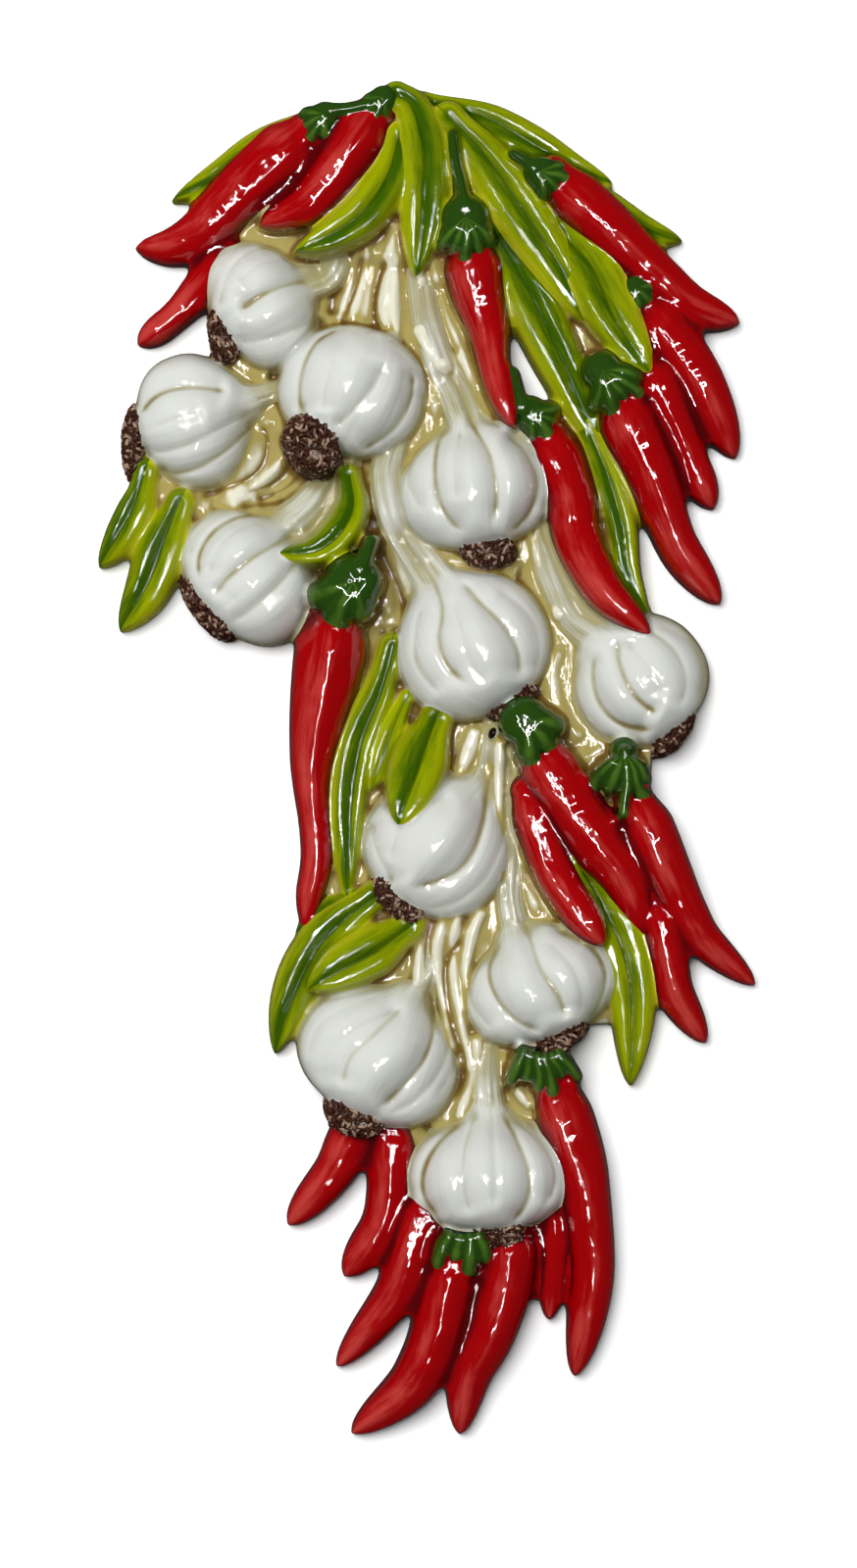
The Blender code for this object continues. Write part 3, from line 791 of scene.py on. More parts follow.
LEAVES = (
    Leaf("leaf_crown_left", 7.6, 9, 6, 0.1, 0.2, 0.55,
         ((-12, 223), (-35, 215), (-55, 208), (-70, 199), (-87.5, 190))),
    Leaf("leaf_crown_front", 9.0, 17, 15, 0.0, 0.75, 0.25,
         ((-10.5, 224.3), (-5, 220), (-0.8, 205), (-1.5, 185), (-4, 163.5))),
    Leaf("leaf_crown_inner", 7.8, 15, 19, 0.05, 0.75, 0.1,
         ((-9.5, 211), (-13.5, 196), (-22, 184), (-32, 177), (-45, 171.5))),
    Leaf("leaf_crown_back", 7.6, 9, 6, 0.1, 0.35, 0.6,
         ((-2, 223), (18, 217), (34, 209.5), (49, 201.5), (63, 196.5))),
    Leaf("leaf_crown_far_right", 6.2, 8, 5, 0.0, 0.4, 0.5,
         ((49, 198), (61, 188), (73, 180.5), (87.2, 176.5))),
    Leaf("leaf_sweep_front", 9.4, 15, 14, 0.1, 0.3, 0.5,
         ((7, 217), (20, 202), (32, 184), (43, 167), (53.8, 148))),
    Leaf("leaf_sweep_under", 8.8, 10, 10, 0.1, 0.75, 0.55,
         ((20, 181), (31, 163), (41, 143), (50, 124), (58, 105.5))),
    Leaf("leaf_sweep_right", 9.8, 12, 17, 0.0, 0.3, 0.5,
         ((41, 183), (54, 167), (63, 150), (75.3, 130.5))),
    Leaf("leaf_tail_right", 5.3, 9, 10, -0.1, 0.25, 0.8,
         ((54, 113), (61, 97), (66, 80), (68.5, 64), (75, 49))),
    Leaf("leaf_outer_left", 6.8, 9, 6, -0.2, 0.3, 0.8,
         ((-95.5, 98), (-98.5, 86), (-104.5, 75), (-112, 65))),
    Leaf("leaf_outer_left_low", 8.6, 9, 6, -0.1, 0.2, 0.75,
         ((-84, 87), (-90, 72), (-96, 57), (-104.8, 43.2))),
    Leaf("leaf_banana", 6.3, 17, 21, 0.0, 0.05, 0.95,
         ((-26.5, 96), (-25.5, 85), (-31, 75), (-39, 69.7), (-50, 69.3))),
    Leaf("leaf_left_long", 7.2, 10, 9, 0.2, 0.2, 0.75,
         ((-12.5, 38.5), (-17, 22), (-24.5, 4), (-27.5, -18), (-27.5, -48))),
    Leaf("leaf_left_short", 4.4, 9, 10, 0.1, 0.1, 0.2,
         ((-7, 21), (-12, 10), (-16, -1), (-19.5, -11.5))),
    Leaf("leaf_heart", 9.6, 14, 24, 0.0, 0.15, 0.75,
         ((3, 13.5), (-1.5, 2), (-5.5, -9), (-9.8, -22.5))),
    Leaf("leaf_fork_long", 8.2, 11, 6, 0.0, 0.35, 0.75,
         ((-17, -46), (-31, -57), (-40.5, -69), (-47, -83), (-52, -101))),
    Leaf("leaf_fork_short", 8.8, 12, 17, 0.0, 0.15, 0.6,
         ((-6, -57), (-18, -65), (-29, -71), (-40.3, -78.3))),
    Leaf("leaf_fork_back", 5.0, 6, 5, 0.0, 0.9, 0.9,
         ((-20, -45), (-32, -52), (-45, -59))),
    Leaf("leaf_low_right", 8.8, 10, 7, -0.05, 0.3, 0.05,
         ((50.5, -35.5), (60, -50), (67, -65), (70, -85), (69.2, -111.8))),
)

HEADS = (
    Garlic("garlic_top_left", (-39, 165), (-71, 146), 24.0, 28, (-0.66, 0.02, 0.42), 6.0,
           ((-40, 162), (-33, 165), (-29, 176)), (
        bold((-31, 166), (-45, 161), (-56, 156), (-65, 150)),
        plain((-50, 175), (-61, 171), (-68, 162), (-71, 150)),
        fine((-57, 176), (-66, 172), (-72, 163), (-73, 152)),
        plain((-33, 153), (-45, 145), (-58, 141), (-66, 142)),
        fine((-42, 170), (-54, 168), (-64, 160)),
    ), swirl=0.2),
    Garlic("garlic_outer_left", (-56.5, 121.8), (-97.5, 108.8), 24.3, 28, (-0.5, 0.4, 0.7), 4.5,
           ((-62, 122), (-52, 125), (-40, 128)), (
        bold((-99, 115), (-92, 122), (-82, 125), (-66, 124)),
        plain((-98, 106), (-88, 104), (-74, 109), (-58, 119)),
        bold((-96, 101), (-84, 97), (-70, 103), (-56, 117)),
        plain((-93, 96), (-80, 91), (-67, 97), (-57, 110)),
        fine((-98, 111), (-88, 113), (-74, 116)),
    )),
    Garlic("garlic_shoulder", (-19.5, 146.5), (-31.5, 102.5), 25.8, 34, (-0.53, 0.26, 0.6), 5.0,
           ((-20, 130), (-12, 142)), (
        bold((-27, 147), (-37, 141), (-42, 131), (-43, 121), (-41, 114)),
        Groove(((-14, 134), (-19, 124), (-27, 115), (-33, 111)), 3.2, 1.4),
        bold((-5, 133), (-6, 121), (-12, 111), (-24, 103)),
        plain((-2, 127), (-2, 117), (-7, 108), (-16, 102)),
        fine((-31, 135), (-34, 125), (-35, 116)),
    ), swirl=0.3, blunt=True),
    Garlic("garlic_upper_middle", (11.5, 117.5), (21, 71.5), 27.6, 33, (-0.47, 0.16, 0.72), 6.5,
           ((13, 116), (9, 126), (4, 134), (0, 147), (-4, 172)), (
        bold((9, 117), (4, 108), (2.5, 98), (3.5, 88), (8, 80), (14, 75)),
        Groove(((0, 134.5), (7, 130), (11.5, 123), (15, 113.5), (20, 104), (22, 97), (23, 87),
               (21, 76)), 4.8, 1.3),
        bold((24, 112), (33, 103), (37, 93), (34, 83), (26, 75)),
        plain((0, 112), (-5, 102), (-6, 92), (-1, 83)),
        fine((26, 111), (38, 101), (42, 91), (38, 82)),
        fine((12, 113), (9, 100), (10, 86)),
    ), swirl=0.2),
    Garlic("garlic_lower_left", (-43, 79.3), (-74.5, 49), 26.2, 30, (-0.66, 0.13, 0.42), 7.5,
           ((-50, 78), (-42, 84), (-35, 92), (-27, 101)), (
        bold((-46, 84), (-60, 83), (-71, 78), (-77, 69), (-77, 58)),
        bold((-42, 78), (-58, 68), (-68, 60), (-73, 53)),
        fine((-50, 81), (-63, 78), (-71, 70), (-74, 60)),
        plain((-40, 72), (-50, 59), (-60, 50), (-67, 46)),
        fine((-54, 86), (-68, 84), (-78, 76), (-81, 66)),
    )),
    Garlic("garlic_middle", (0, 64), (27.5, 17.5), 27.0, 33, (-0.38, 0.48), 7.5,
           ((3, 59), (-5, 71), (-11, 82), (-14, 97), (-10, 112)), (
        bold((10, 62), (17, 53), (25, 45), (30, 36), (31, 25)),
        Groove(((-12, 84), (-6, 71), (2, 60), (5, 50), (4, 40), (7, 31), (16, 23)), 4.8, 1.3),
        plain((-1, 54), (-4, 43), (-3, 31), (5, 21)),
        fine((22, 58), (34, 49), (38, 38), (36, 27)),
        fine((8, 56), (11, 44), (14, 33), (21, 24)),
    )),
    Garlic("garlic_far_right", (55, 48.5), (84.5, 8.5), 25.0, 28, (-0.5, 0.0, 0.8), 7.5,
           ((58, 42), (50, 48), (45, 57), (40, 70), (36, 80)), (
        bold((58, 38), (56, 29), (58, 19), (65, 12), (78, 9)),
        Groove(((52, 36), (50, 25), (54, 13), (64, 6), (76, 4)), 3.4, 1.3),
        bold((64, 42), (65, 31), (70, 21), (79, 14)),
        Groove(((70, 45), (82, 38), (87, 27), (85, 16)), 3.2, 1.3),
        fine((76, 46), (89, 40), (94, 29), (91, 19)),
        fine((66, 40), (74, 31), (79, 20)),
    )),
    Garlic("garlic_lower_middle", (21, -6), (-11, -49), 26.0, 30, (-0.3, 0.42), 7.5,
           ((18, -14), (22.5, -2), (23, 14)), (
        Groove(((22, 4), (20, -12), (18, -24), (13, -35), (4, -41), (-8, -44)), 5.4, 1.6),
        fine((26, -14), (25, -28), (19, -41), (8, -49), (-4, -51)),
        plain((-19, -20), (-17, -31), (-13, -39), (-11, -44)),
        fine((10, -12), (0, -16), (-9, -24), (-13, -36)),
    )),
    Garlic("garlic_low_left", (-3, -77), (-27.0, -121), 29.1, 32, (-0.45, 0.4), 5.5,
           ((-3, -86), (1, -70), (4.5, -56)), (
        Groove(((-6, -82), (-18, -93), (-26, -101), (-29, -112)), 3.2, 1.2),
        bold((-1, -74), (2, -88), (-1, -101), (-11, -113), (-18, -119)),
        plain((3, -78), (7, -93), (4, -106), (-5, -116), (-15, -121)),
        fine((-8, -79), (-25, -83), (-37, -91), (-41, -103)),
        fine((-7, -84), (-23, -90), (-34, -100), (-35, -112)),
        fine((5, -76), (11, -91), (9, -105), (2, -116)),
    )),
    Garlic("garlic_low_right", (29.5, -55), (45.5, -95), 27.5, 32, (-0.55, 0.12, 0.65), 5.0,
           ((31, -62), (28, -48), (29, -35), (28, -15), (27, 2)), (
        bold((26, -60), (21, -71), (23, -80), (30, -88), (40, -93)),
        bold((32, -52), (35, -62), (38, -71), (44, -80), (47, -89)),
        bold((40, -57), (54, -63), (60, -73), (57, -85), (51, -91)),
        plain((24, -61), (16, -70), (15, -82), (23, -93)),
        fine((38, -60), (48, -69), (52, -80), (50, -89)),
    )),
    Garlic("garlic_foot", (20, -117), (21, -161), 29.0, 34, (-0.78, -0.3, 0.43, 0.7), 5.5,
           ((21, -121), (20.5, -109), (21, -98)), (
        bold((15, -121), (4, -130), (-1, -139), (-1, -148), (5, -157)),
        Groove(((18, -117), (13, -130), (12, -142), (15, -155)), 3.4, 1.2),
        bold((24, -118), (30, -129), (34, -140), (33, -150), (27, -158)),
        Groove(((27, -121), (38, -130), (43, -141), (40, -152)), 3.4, 1.2),
        fine((13, -122), (-1, -130), (-6, -141), (-4, -151)),
        fine((21, -112), (22, -126), (23, -140), (23, -152)),
    )),
)

ROOT_PLATES = (
    RootPlate("root_top_left", (-69, 145.5), (10.5, 4.6), 96, 14),
    RootPlate("root_outer_left", (-100.2, 108.3), (11.0, 3.2), 88, 10),
    RootPlate("root_shoulder", (-39, 105.5), (10.0, 7.8), -55, 26),
    RootPlate("root_upper_middle", (20.5, 70.5), (8.7, 5.2), 0, 16),
    RootPlate("root_lower_left", (-75, 51), (11.0, 4.0), -52, 13),
    RootPlate("root_middle", (28.5, 20), (9.0, 4.6), 32, 16),
    RootPlate("root_far_right", (83.5, 9.5), (9.0, 4.3), 53, 12),
    RootPlate("root_lower_middle", (-10, -47.5), (10.0, 4.9), -43, 15),
    RootPlate("root_low_left", (-24.5, -121), (9.2, 6.4), -22, 17),
    RootPlate("root_low_right", (45, -93.7), (8.4, 4.5), 27, 17),
    RootPlate("root_foot", (24, -159.8), (8.2, 4.9), -5, 18),
    RootPlate("stalk_scar", (22, 8.6), (1.9, 1.1), 65, 13.5, 1.2),
)

CAPS = (
    Calyx("calyx_crown_left", (-32.5, 219), 218, 140, 11.5, 4, 17, 5.0,
          ((-27, 219.5), (-20, 221)), 2.2),
    Calyx("calyx_crown_inner", (-13.5, 225), 232, 140, 10.5, 4, 18, 4.5),
    Calyx("calyx_crown_middle", (12.8, 186.5), 272, 124, 18.0, 5, 18, 7.5,
          ((11.5, 193), (9.5, 202), (8.5, 211)), 1.7),
    Calyx("calyx_crown_right", (35.5, 199.5), -32, 140, 12.5, 4, 18, 6.0,
          ((32.5, 202), (29, 204)), 2.0),
    Calyx("calyx_right_upper", (68.5, 160.5), -38, 130, 9.0, 3, 15, 3.5),
    Calyx("calyx_right_lower", (57.5, 133), -54, 116, 17.5, 5, 17, 7.5, hood=0.12),
    Calyx("calyx_middle_right", (32, 119), -35, 120, 13.5, 4, 14, 5.5,
          ((30.3, 123.5), (28.8, 131)), 2.3),
    Calyx("calyx_left_long", (-22.5, 64), 243, 126, 21.0, 3, 20, 8.5,
          ((-20.8, 68), (-18.7, 73.5)), 2.5),
    Calyx("calyx_heart_long", (29.5, 15.5), -42, 116, 19.0, 3, 18, 7.0),
    Calyx("calyx_outer_right", (66.5, 2.5), 270, 110, 16.5, 5, 17, 7.0,
          ((67.2, -8), (66.5, -14), (66, -19)), 1.7, tuck=0.2),
    Calyx("calyx_foot_right", (38.8, -89), 270, 72, 24.0, 6, 18.5, 5.0, tuck=0.40, hood=0.0, furrow=0.9),
    Calyx("calyx_foot_middle", (12, -149), 270, 62, 24.5, 4, 18.0, 5.0, tuck=0.44, hood=0.0, furrow=0.9),
)

WEBS = (  # course, half width and height of the edge
    (((-8, 205), (-12, 190), (-12, 165), (-8, 140)), 25, 5),
    (((-62, 180), (-50, 172), (-52, 155), (-52, 135)), 14, 3),
    (((-68, 137), (-54, 131)), 8, 3),
    (((-92, 91), (-74, 86)), 8, 3),
    (((-25, 135), (-48, 110), (-62, 96), (-50, 78)), 17, 4),
    (((-58, 58), (-46, 47)), 8.5, 4),
    (((2, 140), (-2, 115), (-14, 90), (-10, 66), (-9, 45)), 14, 4),
    (((11, 156), (12, 138), (20, 118)), 7, 4),
    (((3, 71), (30, 62)), 8, 4),
    (((-31, 66), (-22, 45), (-18, 22)), 9, 3),
    (((-10, 42), (-6, 24), (6, 12)), 9, 3),
    (((-31.5, 4), (-32, -25), (-32.5, -46)), 3, 3),
    (((-17, -2), (-20, -24), (-20, -42), (-10, -56), (4, -58)), 7, 3),
    (((44, 158), (54, 146), (64, 135)), 8, 3),
    (((66, 160), (72, 156)), 6, 4),
    (((20, 80), (40, 70), (46, 45), (50, 24), (60, 3)), 12, 4),
    (((46, 106), (57, 88), (65, 64), (72, 49)), 5, 3),
    (((42, 62), (56, 50), (70, 44)), 6, 4),
    (((26, 16), (40, 14)), 11, 4),
    (((12, 16), (20, 0), (27, -20), (27, -45), (10, -66), (12, -92), (20, -112)), 13, 4),
    (((40, 2), (56, 0), (76, 1)), 6, 4),
    (((58, -2), (62, -16)), 6, 4),
    (((32, -42), (40, -56)), 10, 4),
    (((-2, -58), (-10, -72), (-30, -82)), 9, 3),
    (((-6, -124), (-7, -138)), 6, 4),
    (((8, -128), (20, -104), (33, -108), (38, -122)), 11, 4),
    (((50, -84), (64, -83.5)), 7.5, 3),
)

STRANDS = (  # course, half width, base and rise
    (((-17, 186), (-20, 174), (-22.5, 163), (-24.5, 157), (-28, 146)), 1.6, 9, 3.4),
    (((-21, 184), (-23.5, 172), (-25.5, 162), (-28, 155), (-31, 146)), 1.5, 9, 3.2),
    (((-13, 190), (-15.5, 178), (-18, 165), (-21, 152), (-22, 145)), 2.8, 7.5, 2.6),
    (((-10, 186), (-12.3, 173), (-14.5, 160), (-15.5, 152), (-13.5, 142)), 2.0, 10, 3.8),
    (((-8, 190), (-9.7, 177), (-11.5, 163), (-11.5, 150), (-9.5, 138)), 1.9, 9.5, 3.4),
    (((-5.5, 188), (-7, 175), (-7.5, 158), (-5.5, 144), (-0.5, 132), (2.5, 121), (1, 111)),
     2.6, 8.5, 3.2),
    (((-4, 178), (-3.5, 166), (-3, 152), (0, 141), (5, 134), (10, 130)), 2.6, 11, 4.0),
    (((0, 180), (2.5, 165), (6, 150), (10.5, 139.5), (15.5, 128), (20, 118.5), (28, 112)), 2.0, 10, 3.6),
    (((4, 178), (5.5, 164), (9.5, 148), (14, 135)), 1.6, 9, 3.0),
    (((-31, 184), (-33.5, 172), (-35, 158), (-36, 148)), 1.8, 6, 2.6),
    (((-57, 118), (-54, 108), (-60, 97), (-72, 89)), 3.0, 7.5, 3.2),
    (((-51, 116), (-49, 103), (-57, 93), (-66, 89)), 2.2, 8, 3.2),
    (((-46, 103), (-44, 95), (-54, 89.5)), 2.0, 8, 3.0),
    (((-38, 97), (-41, 91), (-50, 86.5)), 1.8, 9, 2.8),
    (((-20, 100), (-20.5, 85), (-18, 70), (-14, 58), (-13, 44)), 2.2, 8.5, 3.2),
    (((-15, 102), (-16.5, 86), (-13, 70), (-7, 58), (-5, 50)), 1.8, 10, 3.2),
    (((-7, 100), (-9, 86), (-4, 74), (2, 66)), 2.0, 9, 3.0),
    (((0, 108), (-6, 98), (-8, 88), (0, 72), (12, 66), (30, 61)), 2.0, 9, 3.2),
    (((33, 84), (37, 72), (41, 60), (46, 44)), 2.2, 9, 3.4),
    (((38, 78), (44, 64), (50, 52), (56, 46)), 2.0, 8, 3.0),
    (((45, 40), (42, 28), (46, 14), (54, 4)), 2.6, 8, 3.0),
    (((42, 46), (39.5, 34), (41, 22), (46, 8)), 1.8, 7.5, 2.8),
    (((-25, 42), (-20, 34), (-17, 28)), 2.2, 7, 2.6),
    (((17, 12), (14, 3), (10, -7)), 2.4, 9, 2.8),
    (((25, 12), (24.5, -5), (25, -25), (24, -46)), 1.8, 11, 3.2),
    (((31, 8), (31, -15), (32, -40), (40, -56)), 2.0, 8, 3.0),
    (((35, -44), (40, -54), (50, -60)), 1.8, 7, 2.6),
    (((1, -46), (-1, -58), (-2, -66), (-3, -80)), 2.2, 10, 3.4),
    (((8, -44), (4.5, -56), (3, -66), (6, -84), (10, -104)), 2.2, 11, 3.6),
    (((13, -44), (9.5, -56), (8, -70), (10.5, -88), (15, -112)), 2.0, 10.5, 3.4),
    (((20, -48), (15, -60), (12.5, -72), (13, -90)), 2.0, 9.5, 3.2),
    (((17, -92), (15, -108), (10, -126)), 2.2, 9.5, 3.2),
    (((28, -100), (29, -110), (37, -120)), 2.2, 9, 3.0),
    (((31, -98), (35, -105), (39, -117)), 1.8, 7, 2.6),
)

FURROWS = (
    Groove(((-13.5, 171), (-17, 161), (-18, 154), (-17.5, 148), (-16, 142)), 5.0, 0.9),
    Groove(((0.5, 163), (2.5, 153), (5, 144), (9.5, 135)), 5.5, 1.1),
    Groove(((-21.8, 172), (-24, 162), (-26.8, 154), (-29.8, 146)), 5.0, 0.8),
    Groove(((-30, 170), (-31.5, 160), (-33.5, 150)), 4.5, 1.2),
    Groove(((-5.2, 170), (-5.5, 156), (-3, 145)), 4.0, 0.8),
    Groove(((13, -58), (6, -72), (8, -90), (12.5, -104), (10, -118)), 5.0, 1.0),
    Groove(((5.5, -50), (0.5, -60), (0.8, -74), (4, -92)), 4.0, 0.9),
    Groove(((-42.8, 97), (-49, 92), (-59, 87.8)), 4.5, 0.8),
    Groove(((-58.5, 117), (-54.5, 107.8), (-59, 97), (-79, 88)), 4.5, 0.9),
    Groove(((-35, 95), (-48, 88), (-66, 85.6)), 4.5, 0.9),
    Groove(((-49, 112), (-46.5, 102), (-53, 94), (-64, 90)), 4.0, 0.8),
    Groove(((-18, 98), (-18.5, 84), (-15, 70), (-9, 57), (-8.5, 46)), 4.0, 0.9),
    Groove(((36, 80), (40, 66), (46, 50)), 4.0, 0.9),
    Groove(((28, 0), (28, -15), (28.5, -30)), 4.0, 0.8),
)

GROUND = Stalks(
    "stalk_ground", tuple(Web(*web) for web in WEBS), tuple(Strand(*strand) for strand in STRANDS), FURROWS
)



# ---- the casting ----


def shifted_disc(radius: float, step: float) -> list[tuple[int, int, float]]:
    """Lists the offsets within a ball's shadow, in cells, and the ball's height over each."""
    reach = int(radius / step)
    offsets = []
    for j in range(-reach, reach + 1):
        for i in range(-reach, reach + 1):
            far = math.hypot(i, j) * step
            if far <= radius:
                offsets.append((j, i, math.sqrt(radius**2 - far**2)))
    return offsets


def roll_ball(height: Array, radius: float, step: float) -> Array:
    """Fills creases as slip does: no hollow is left that a ball could not touch.

    Args:
        height: Relief over the plate.
        radius: The ball's radius.
        step: Distance between spots.

    Returns:
        The relief with its creases rounded.
    """
    offsets = shifted_disc(radius, step)
    pad = int(radius / step) + 1
    rows, columns = height.shape
    for pick, way in ((np.maximum, 1), (np.minimum, -1)):
        source = np.pad(height, pad, mode="edge")
        height = np.full(height.shape, -way * np.inf)
        for j, i, ball in offsets:
            moved = source[pad + j : pad + j + rows, pad + i : pad + i + columns]
            height = pick(height, moved + way * ball)
    return height


def blur(values: Array, width: float) -> Array:
    """Blurs a field by a bell of the given width in cells."""
    reach = max(1, math.ceil(3 * width))
    weights = np.exp(-0.5 * (np.arange(-reach, reach + 1) / width) ** 2)
    weights /= weights.sum()
    out = values
    for axis in (0, 1):
        padded = np.pad(out, [(reach, reach) if a == axis else (0, 0) for a in (0, 1)], mode="edge")
        size = out.shape[axis]
        out = sum(w * padded.take(range(k, k + size), axis) for k, w in enumerate(weights))
    return out


@dataclass
class Casting:
    """All the parts pressed together, filled with slip, and divided along their seams."""

    plate: Plate
    parts: list[Part]
    rim: float = 2.4  # the outline is where the relief falls to this height
    tight_fillet: float = 1.3
    wide_fillet: float = 3.6
    softness: float = 0.55
    fields: dict[str, Array] = field(default_factory=dict)  # crease and hollow, at each spot
    patches: list[tuple[slice, slice, Array]] = field(default_factory=list)  # each part's window and relief
    label: Array = field(init=False)  # which part each cell shows, -1 outside the outline
    skin: Array = field(init=False)
    slope_x: Array = field(init=False)
    slope_y: Array = field(init=False)
    x: Array = field(init=False)
    y: Array = field(init=False)

    FREEDOM = 0.7  # how far a spot may slide to a seam, in cells

    def press(self) -> None:
        """Works out every part, and which of them is on top at each cell."""
        shape = self.plate.shape
        cells = (shape[0] - 1, shape[1] - 1)
        top = np.full(shape, NOWHERE)
        cell_top = np.full(cells, NOWHERE)
        self.label = np.full(cells, -1)
        vertex_label = np.full(shape, -1)
        for number, part in enumerate(self.parts):
            rows, columns = self.plate.window(*part.reach())
            x, y = self.plate.places(rows, columns)
            relief = part.relief(x, y)
            height = np.maximum(relief.height, NOWHERE)
            self.patches.append((rows, columns, height))
            wins = height > top[rows, columns]
            top[rows, columns] = np.where(wins, height, top[rows, columns])
            vertex_label[rows, columns] = np.where(wins, number, vertex_label[rows, columns])
            middle = self.cell_mean(height)
            inner = slice(rows.start, rows.stop - 1), slice(columns.start, columns.stop - 1)
            wins = middle > cell_top[inner]
            cell_top[inner] = np.where(wins, middle, cell_top[inner])
            self.label[inner] = np.where(wins, number, self.label[inner])
        self.fill(top, vertex_label)

    def fill(self, top: Array, vertex_label: Array) -> None:
        """Fills the creases, and works out how hollow each spot is."""
        step = self.plate.step
        red = np.array([part.kind is Kind.CHILLI for part in self.parts] + [False])
        near_red = smooth_step(0.35, 0.8, blur(red[vertex_label].astype(float), 2.0 / step))
        tight = roll_ball(top, self.tight_fillet, step)
        wide = roll_ball(top, self.wide_fillet, step)
        inland = smooth_step(self.rim - 0.5, self.rim + 3.0, blur(tight, 0.6 / step))
        filled = tight + (wide - tight) * near_red * inland
        skin = blur(filled, self.softness / step)
        self.skin = skin
        shown = np.maximum(skin, 0.0)
        self.fields["crease"] = np.clip((blur(shown, 1.1 / step) - shown) / 0.55, -1.0, 2.0)
        self.fields["hollow"] = np.clip((blur(shown, 4.5 / step) - shown) / 3.5, -1.0, 2.0)
        self.label[self.cell_mean(skin) < self.rim] = -1
        self.slope_x = np.gradient(skin, step, axis=1)
        self.slope_y = np.gradient(skin, step, axis=0)

    @staticmethod
    def cell_mean(values: Array) -> Array:
        """Gives the mean of each cell's four corners."""
        return 0.25 * (values[1:, 1:] + values[:-1, 1:] + values[1:, :-1] + values[:-1, :-1])

    def tidy_seams(self) -> None:
        """Takes lone cells out of the seams, and cells that touch only at a corner."""
        for _ in range(4):
            padded = np.pad(self.label, 1, mode="edge")
            rows, columns = self.label.shape
            around = [
                padded[1 + j : 1 + j + rows, 1 + i : 1 + i + columns]
                for j in (-1, 0, 1)
                for i in (-1, 0, 1)
                if (i, j) != (0, 0)
            ]
            stack = np.stack(around)
            same = (stack == self.label).sum(0)
            votes = np.stack([(stack == layer).sum(0) for layer in around])
            best = np.take_along_axis(stack, votes.argmax(0)[None], 0)[0]
            self.label = np.where(same <= 2, best, self.label)
        for _ in range(6):
            a, b = self.label[:-1, :-1], self.label[:-1, 1:]
            c, d = self.label[1:, :-1], self.label[1:, 1:]
            pinch = (a == d) & (a != b) & (a != c)
            pinch |= (b == c) & (b != a) & (b != d)
            j, i = np.nonzero(pinch)
            if not len(j):
                break
            self.label[j + 1, i] = self.label[j, i]

    def snap(self) -> None:
        """Moves the spots on each seam on to the line where its two parts are level."""
        rows, columns = self.plate.shape
        step = self.plate.step
        padded = np.pad(self.label, 1, constant_values=-1)
        corners = np.stack([padded[:-1, :-1], padded[:-1, 1:], padded[1:, :-1], padded[1:, 1:]])
        low, high = corners.min(0), corners.max(0)
        mixed = low != high
        two = mixed & ((corners == low) | (corners == high)).all(0)
        x, y = self.plate.places(slice(0, rows), slice(0, columns))
        move = np.zeros((rows, columns, 2))
        outline = mixed & (low == -1)
        self.slide(move, outline, self.skin - self.rim, slice(0, rows), slice(0, columns))
        pairs = {(int(a), int(b)) for a, b in zip(low[two], high[two]) if a >= 0}
        for a, b in sorted(pairs):
            (ra, ca, _), (rb, cb, _) = self.patches[a], self.patches[b]
            r = slice(max(ra.start, rb.start), min(ra.stop, rb.stop))
            c = slice(max(ca.start, cb.start), min(ca.stop, cb.stop))
            if r.stop - r.start < 3 or c.stop - c.start < 3:
                continue
            here = two[r, c] & (low[r, c] == a) & (high[r, c] == b)
            self.slide(move, here, self.pressed(a, r, c) - self.pressed(b, r, c), r, c)
        self.x, self.y = x + move[..., 0], y + move[..., 1]
        self.smooth_seams(mixed, two | outline)
        LOG.info("snapped %d seam spots, step %.2f mm", int(mixed.sum()), step)

    def pressed(self, number: int, rows: slice, columns: slice) -> Array:
        """Gives one part's relief over a window that lies within its own."""
        r, c, height = self.patches[number]
        height = height[rows.start - r.start : rows.stop - r.start]
        return height[:, columns.start - c.start : columns.stop - c.start]

    def slide(self, move: Array, here: Array, gap: Array, rows: slice, columns: slice) -> None:
        """Moves the chosen spots of a window towards where gap is nought.

        Args:
            move: Movement of every spot, which is changed.
            here: The spots to move, over the window.
            gap: The difference in height over the window.
            rows: The window's rows.
            columns: The window's columns.
        """
        step = self.plate.step
        gy, gx = np.gradient(gap, step)
        size = np.maximum(gx * gx + gy * gy, 1e-6)
        dx, dy = -gap * gx / size, -gap * gy / size
        far = np.maximum(np.hypot(dx, dy) / (self.FREEDOM * step), 1.0)
        window = move[rows, columns]
        window[here, 0] = (dx / far)[here]
        window[here, 1] = (dy / far)[here]

    def smooth_seams(self, mixed: Array, free: Array) -> None:
        """Evens out the spots along each seam."""
        padded = np.pad(self.label, 1, constant_values=-1)
        right = padded[:-1, 1:-1] != padded[1:, 1:-1]
        up = padded[1:-1, :-1] != padded[1:-1, 1:]
        for _ in range(3):
            here = np.stack([self.x, self.y], axis=-1)
            total, count = np.zeros(here.shape), np.zeros(mixed.shape)
            for seam, low, high in ((right, np.s_[:, :-1], np.s_[:, 1:]), (up, np.s_[:-1], np.s_[1:])):
                for one, other in ((low, high), (high, low)):
                    total[one] += here[other] * seam[..., None]
                    count[one] += seam
            smooth = free & (count == 2) | (mixed & ~free & (count > 0))
            mean = total / np.maximum(count, 1)[..., None]
            self.x = np.where(smooth, 0.5 * self.x + 0.5 * mean[..., 0], self.x)
            self.y = np.where(smooth, 0.5 * self.y + 0.5 * mean[..., 1], self.y)

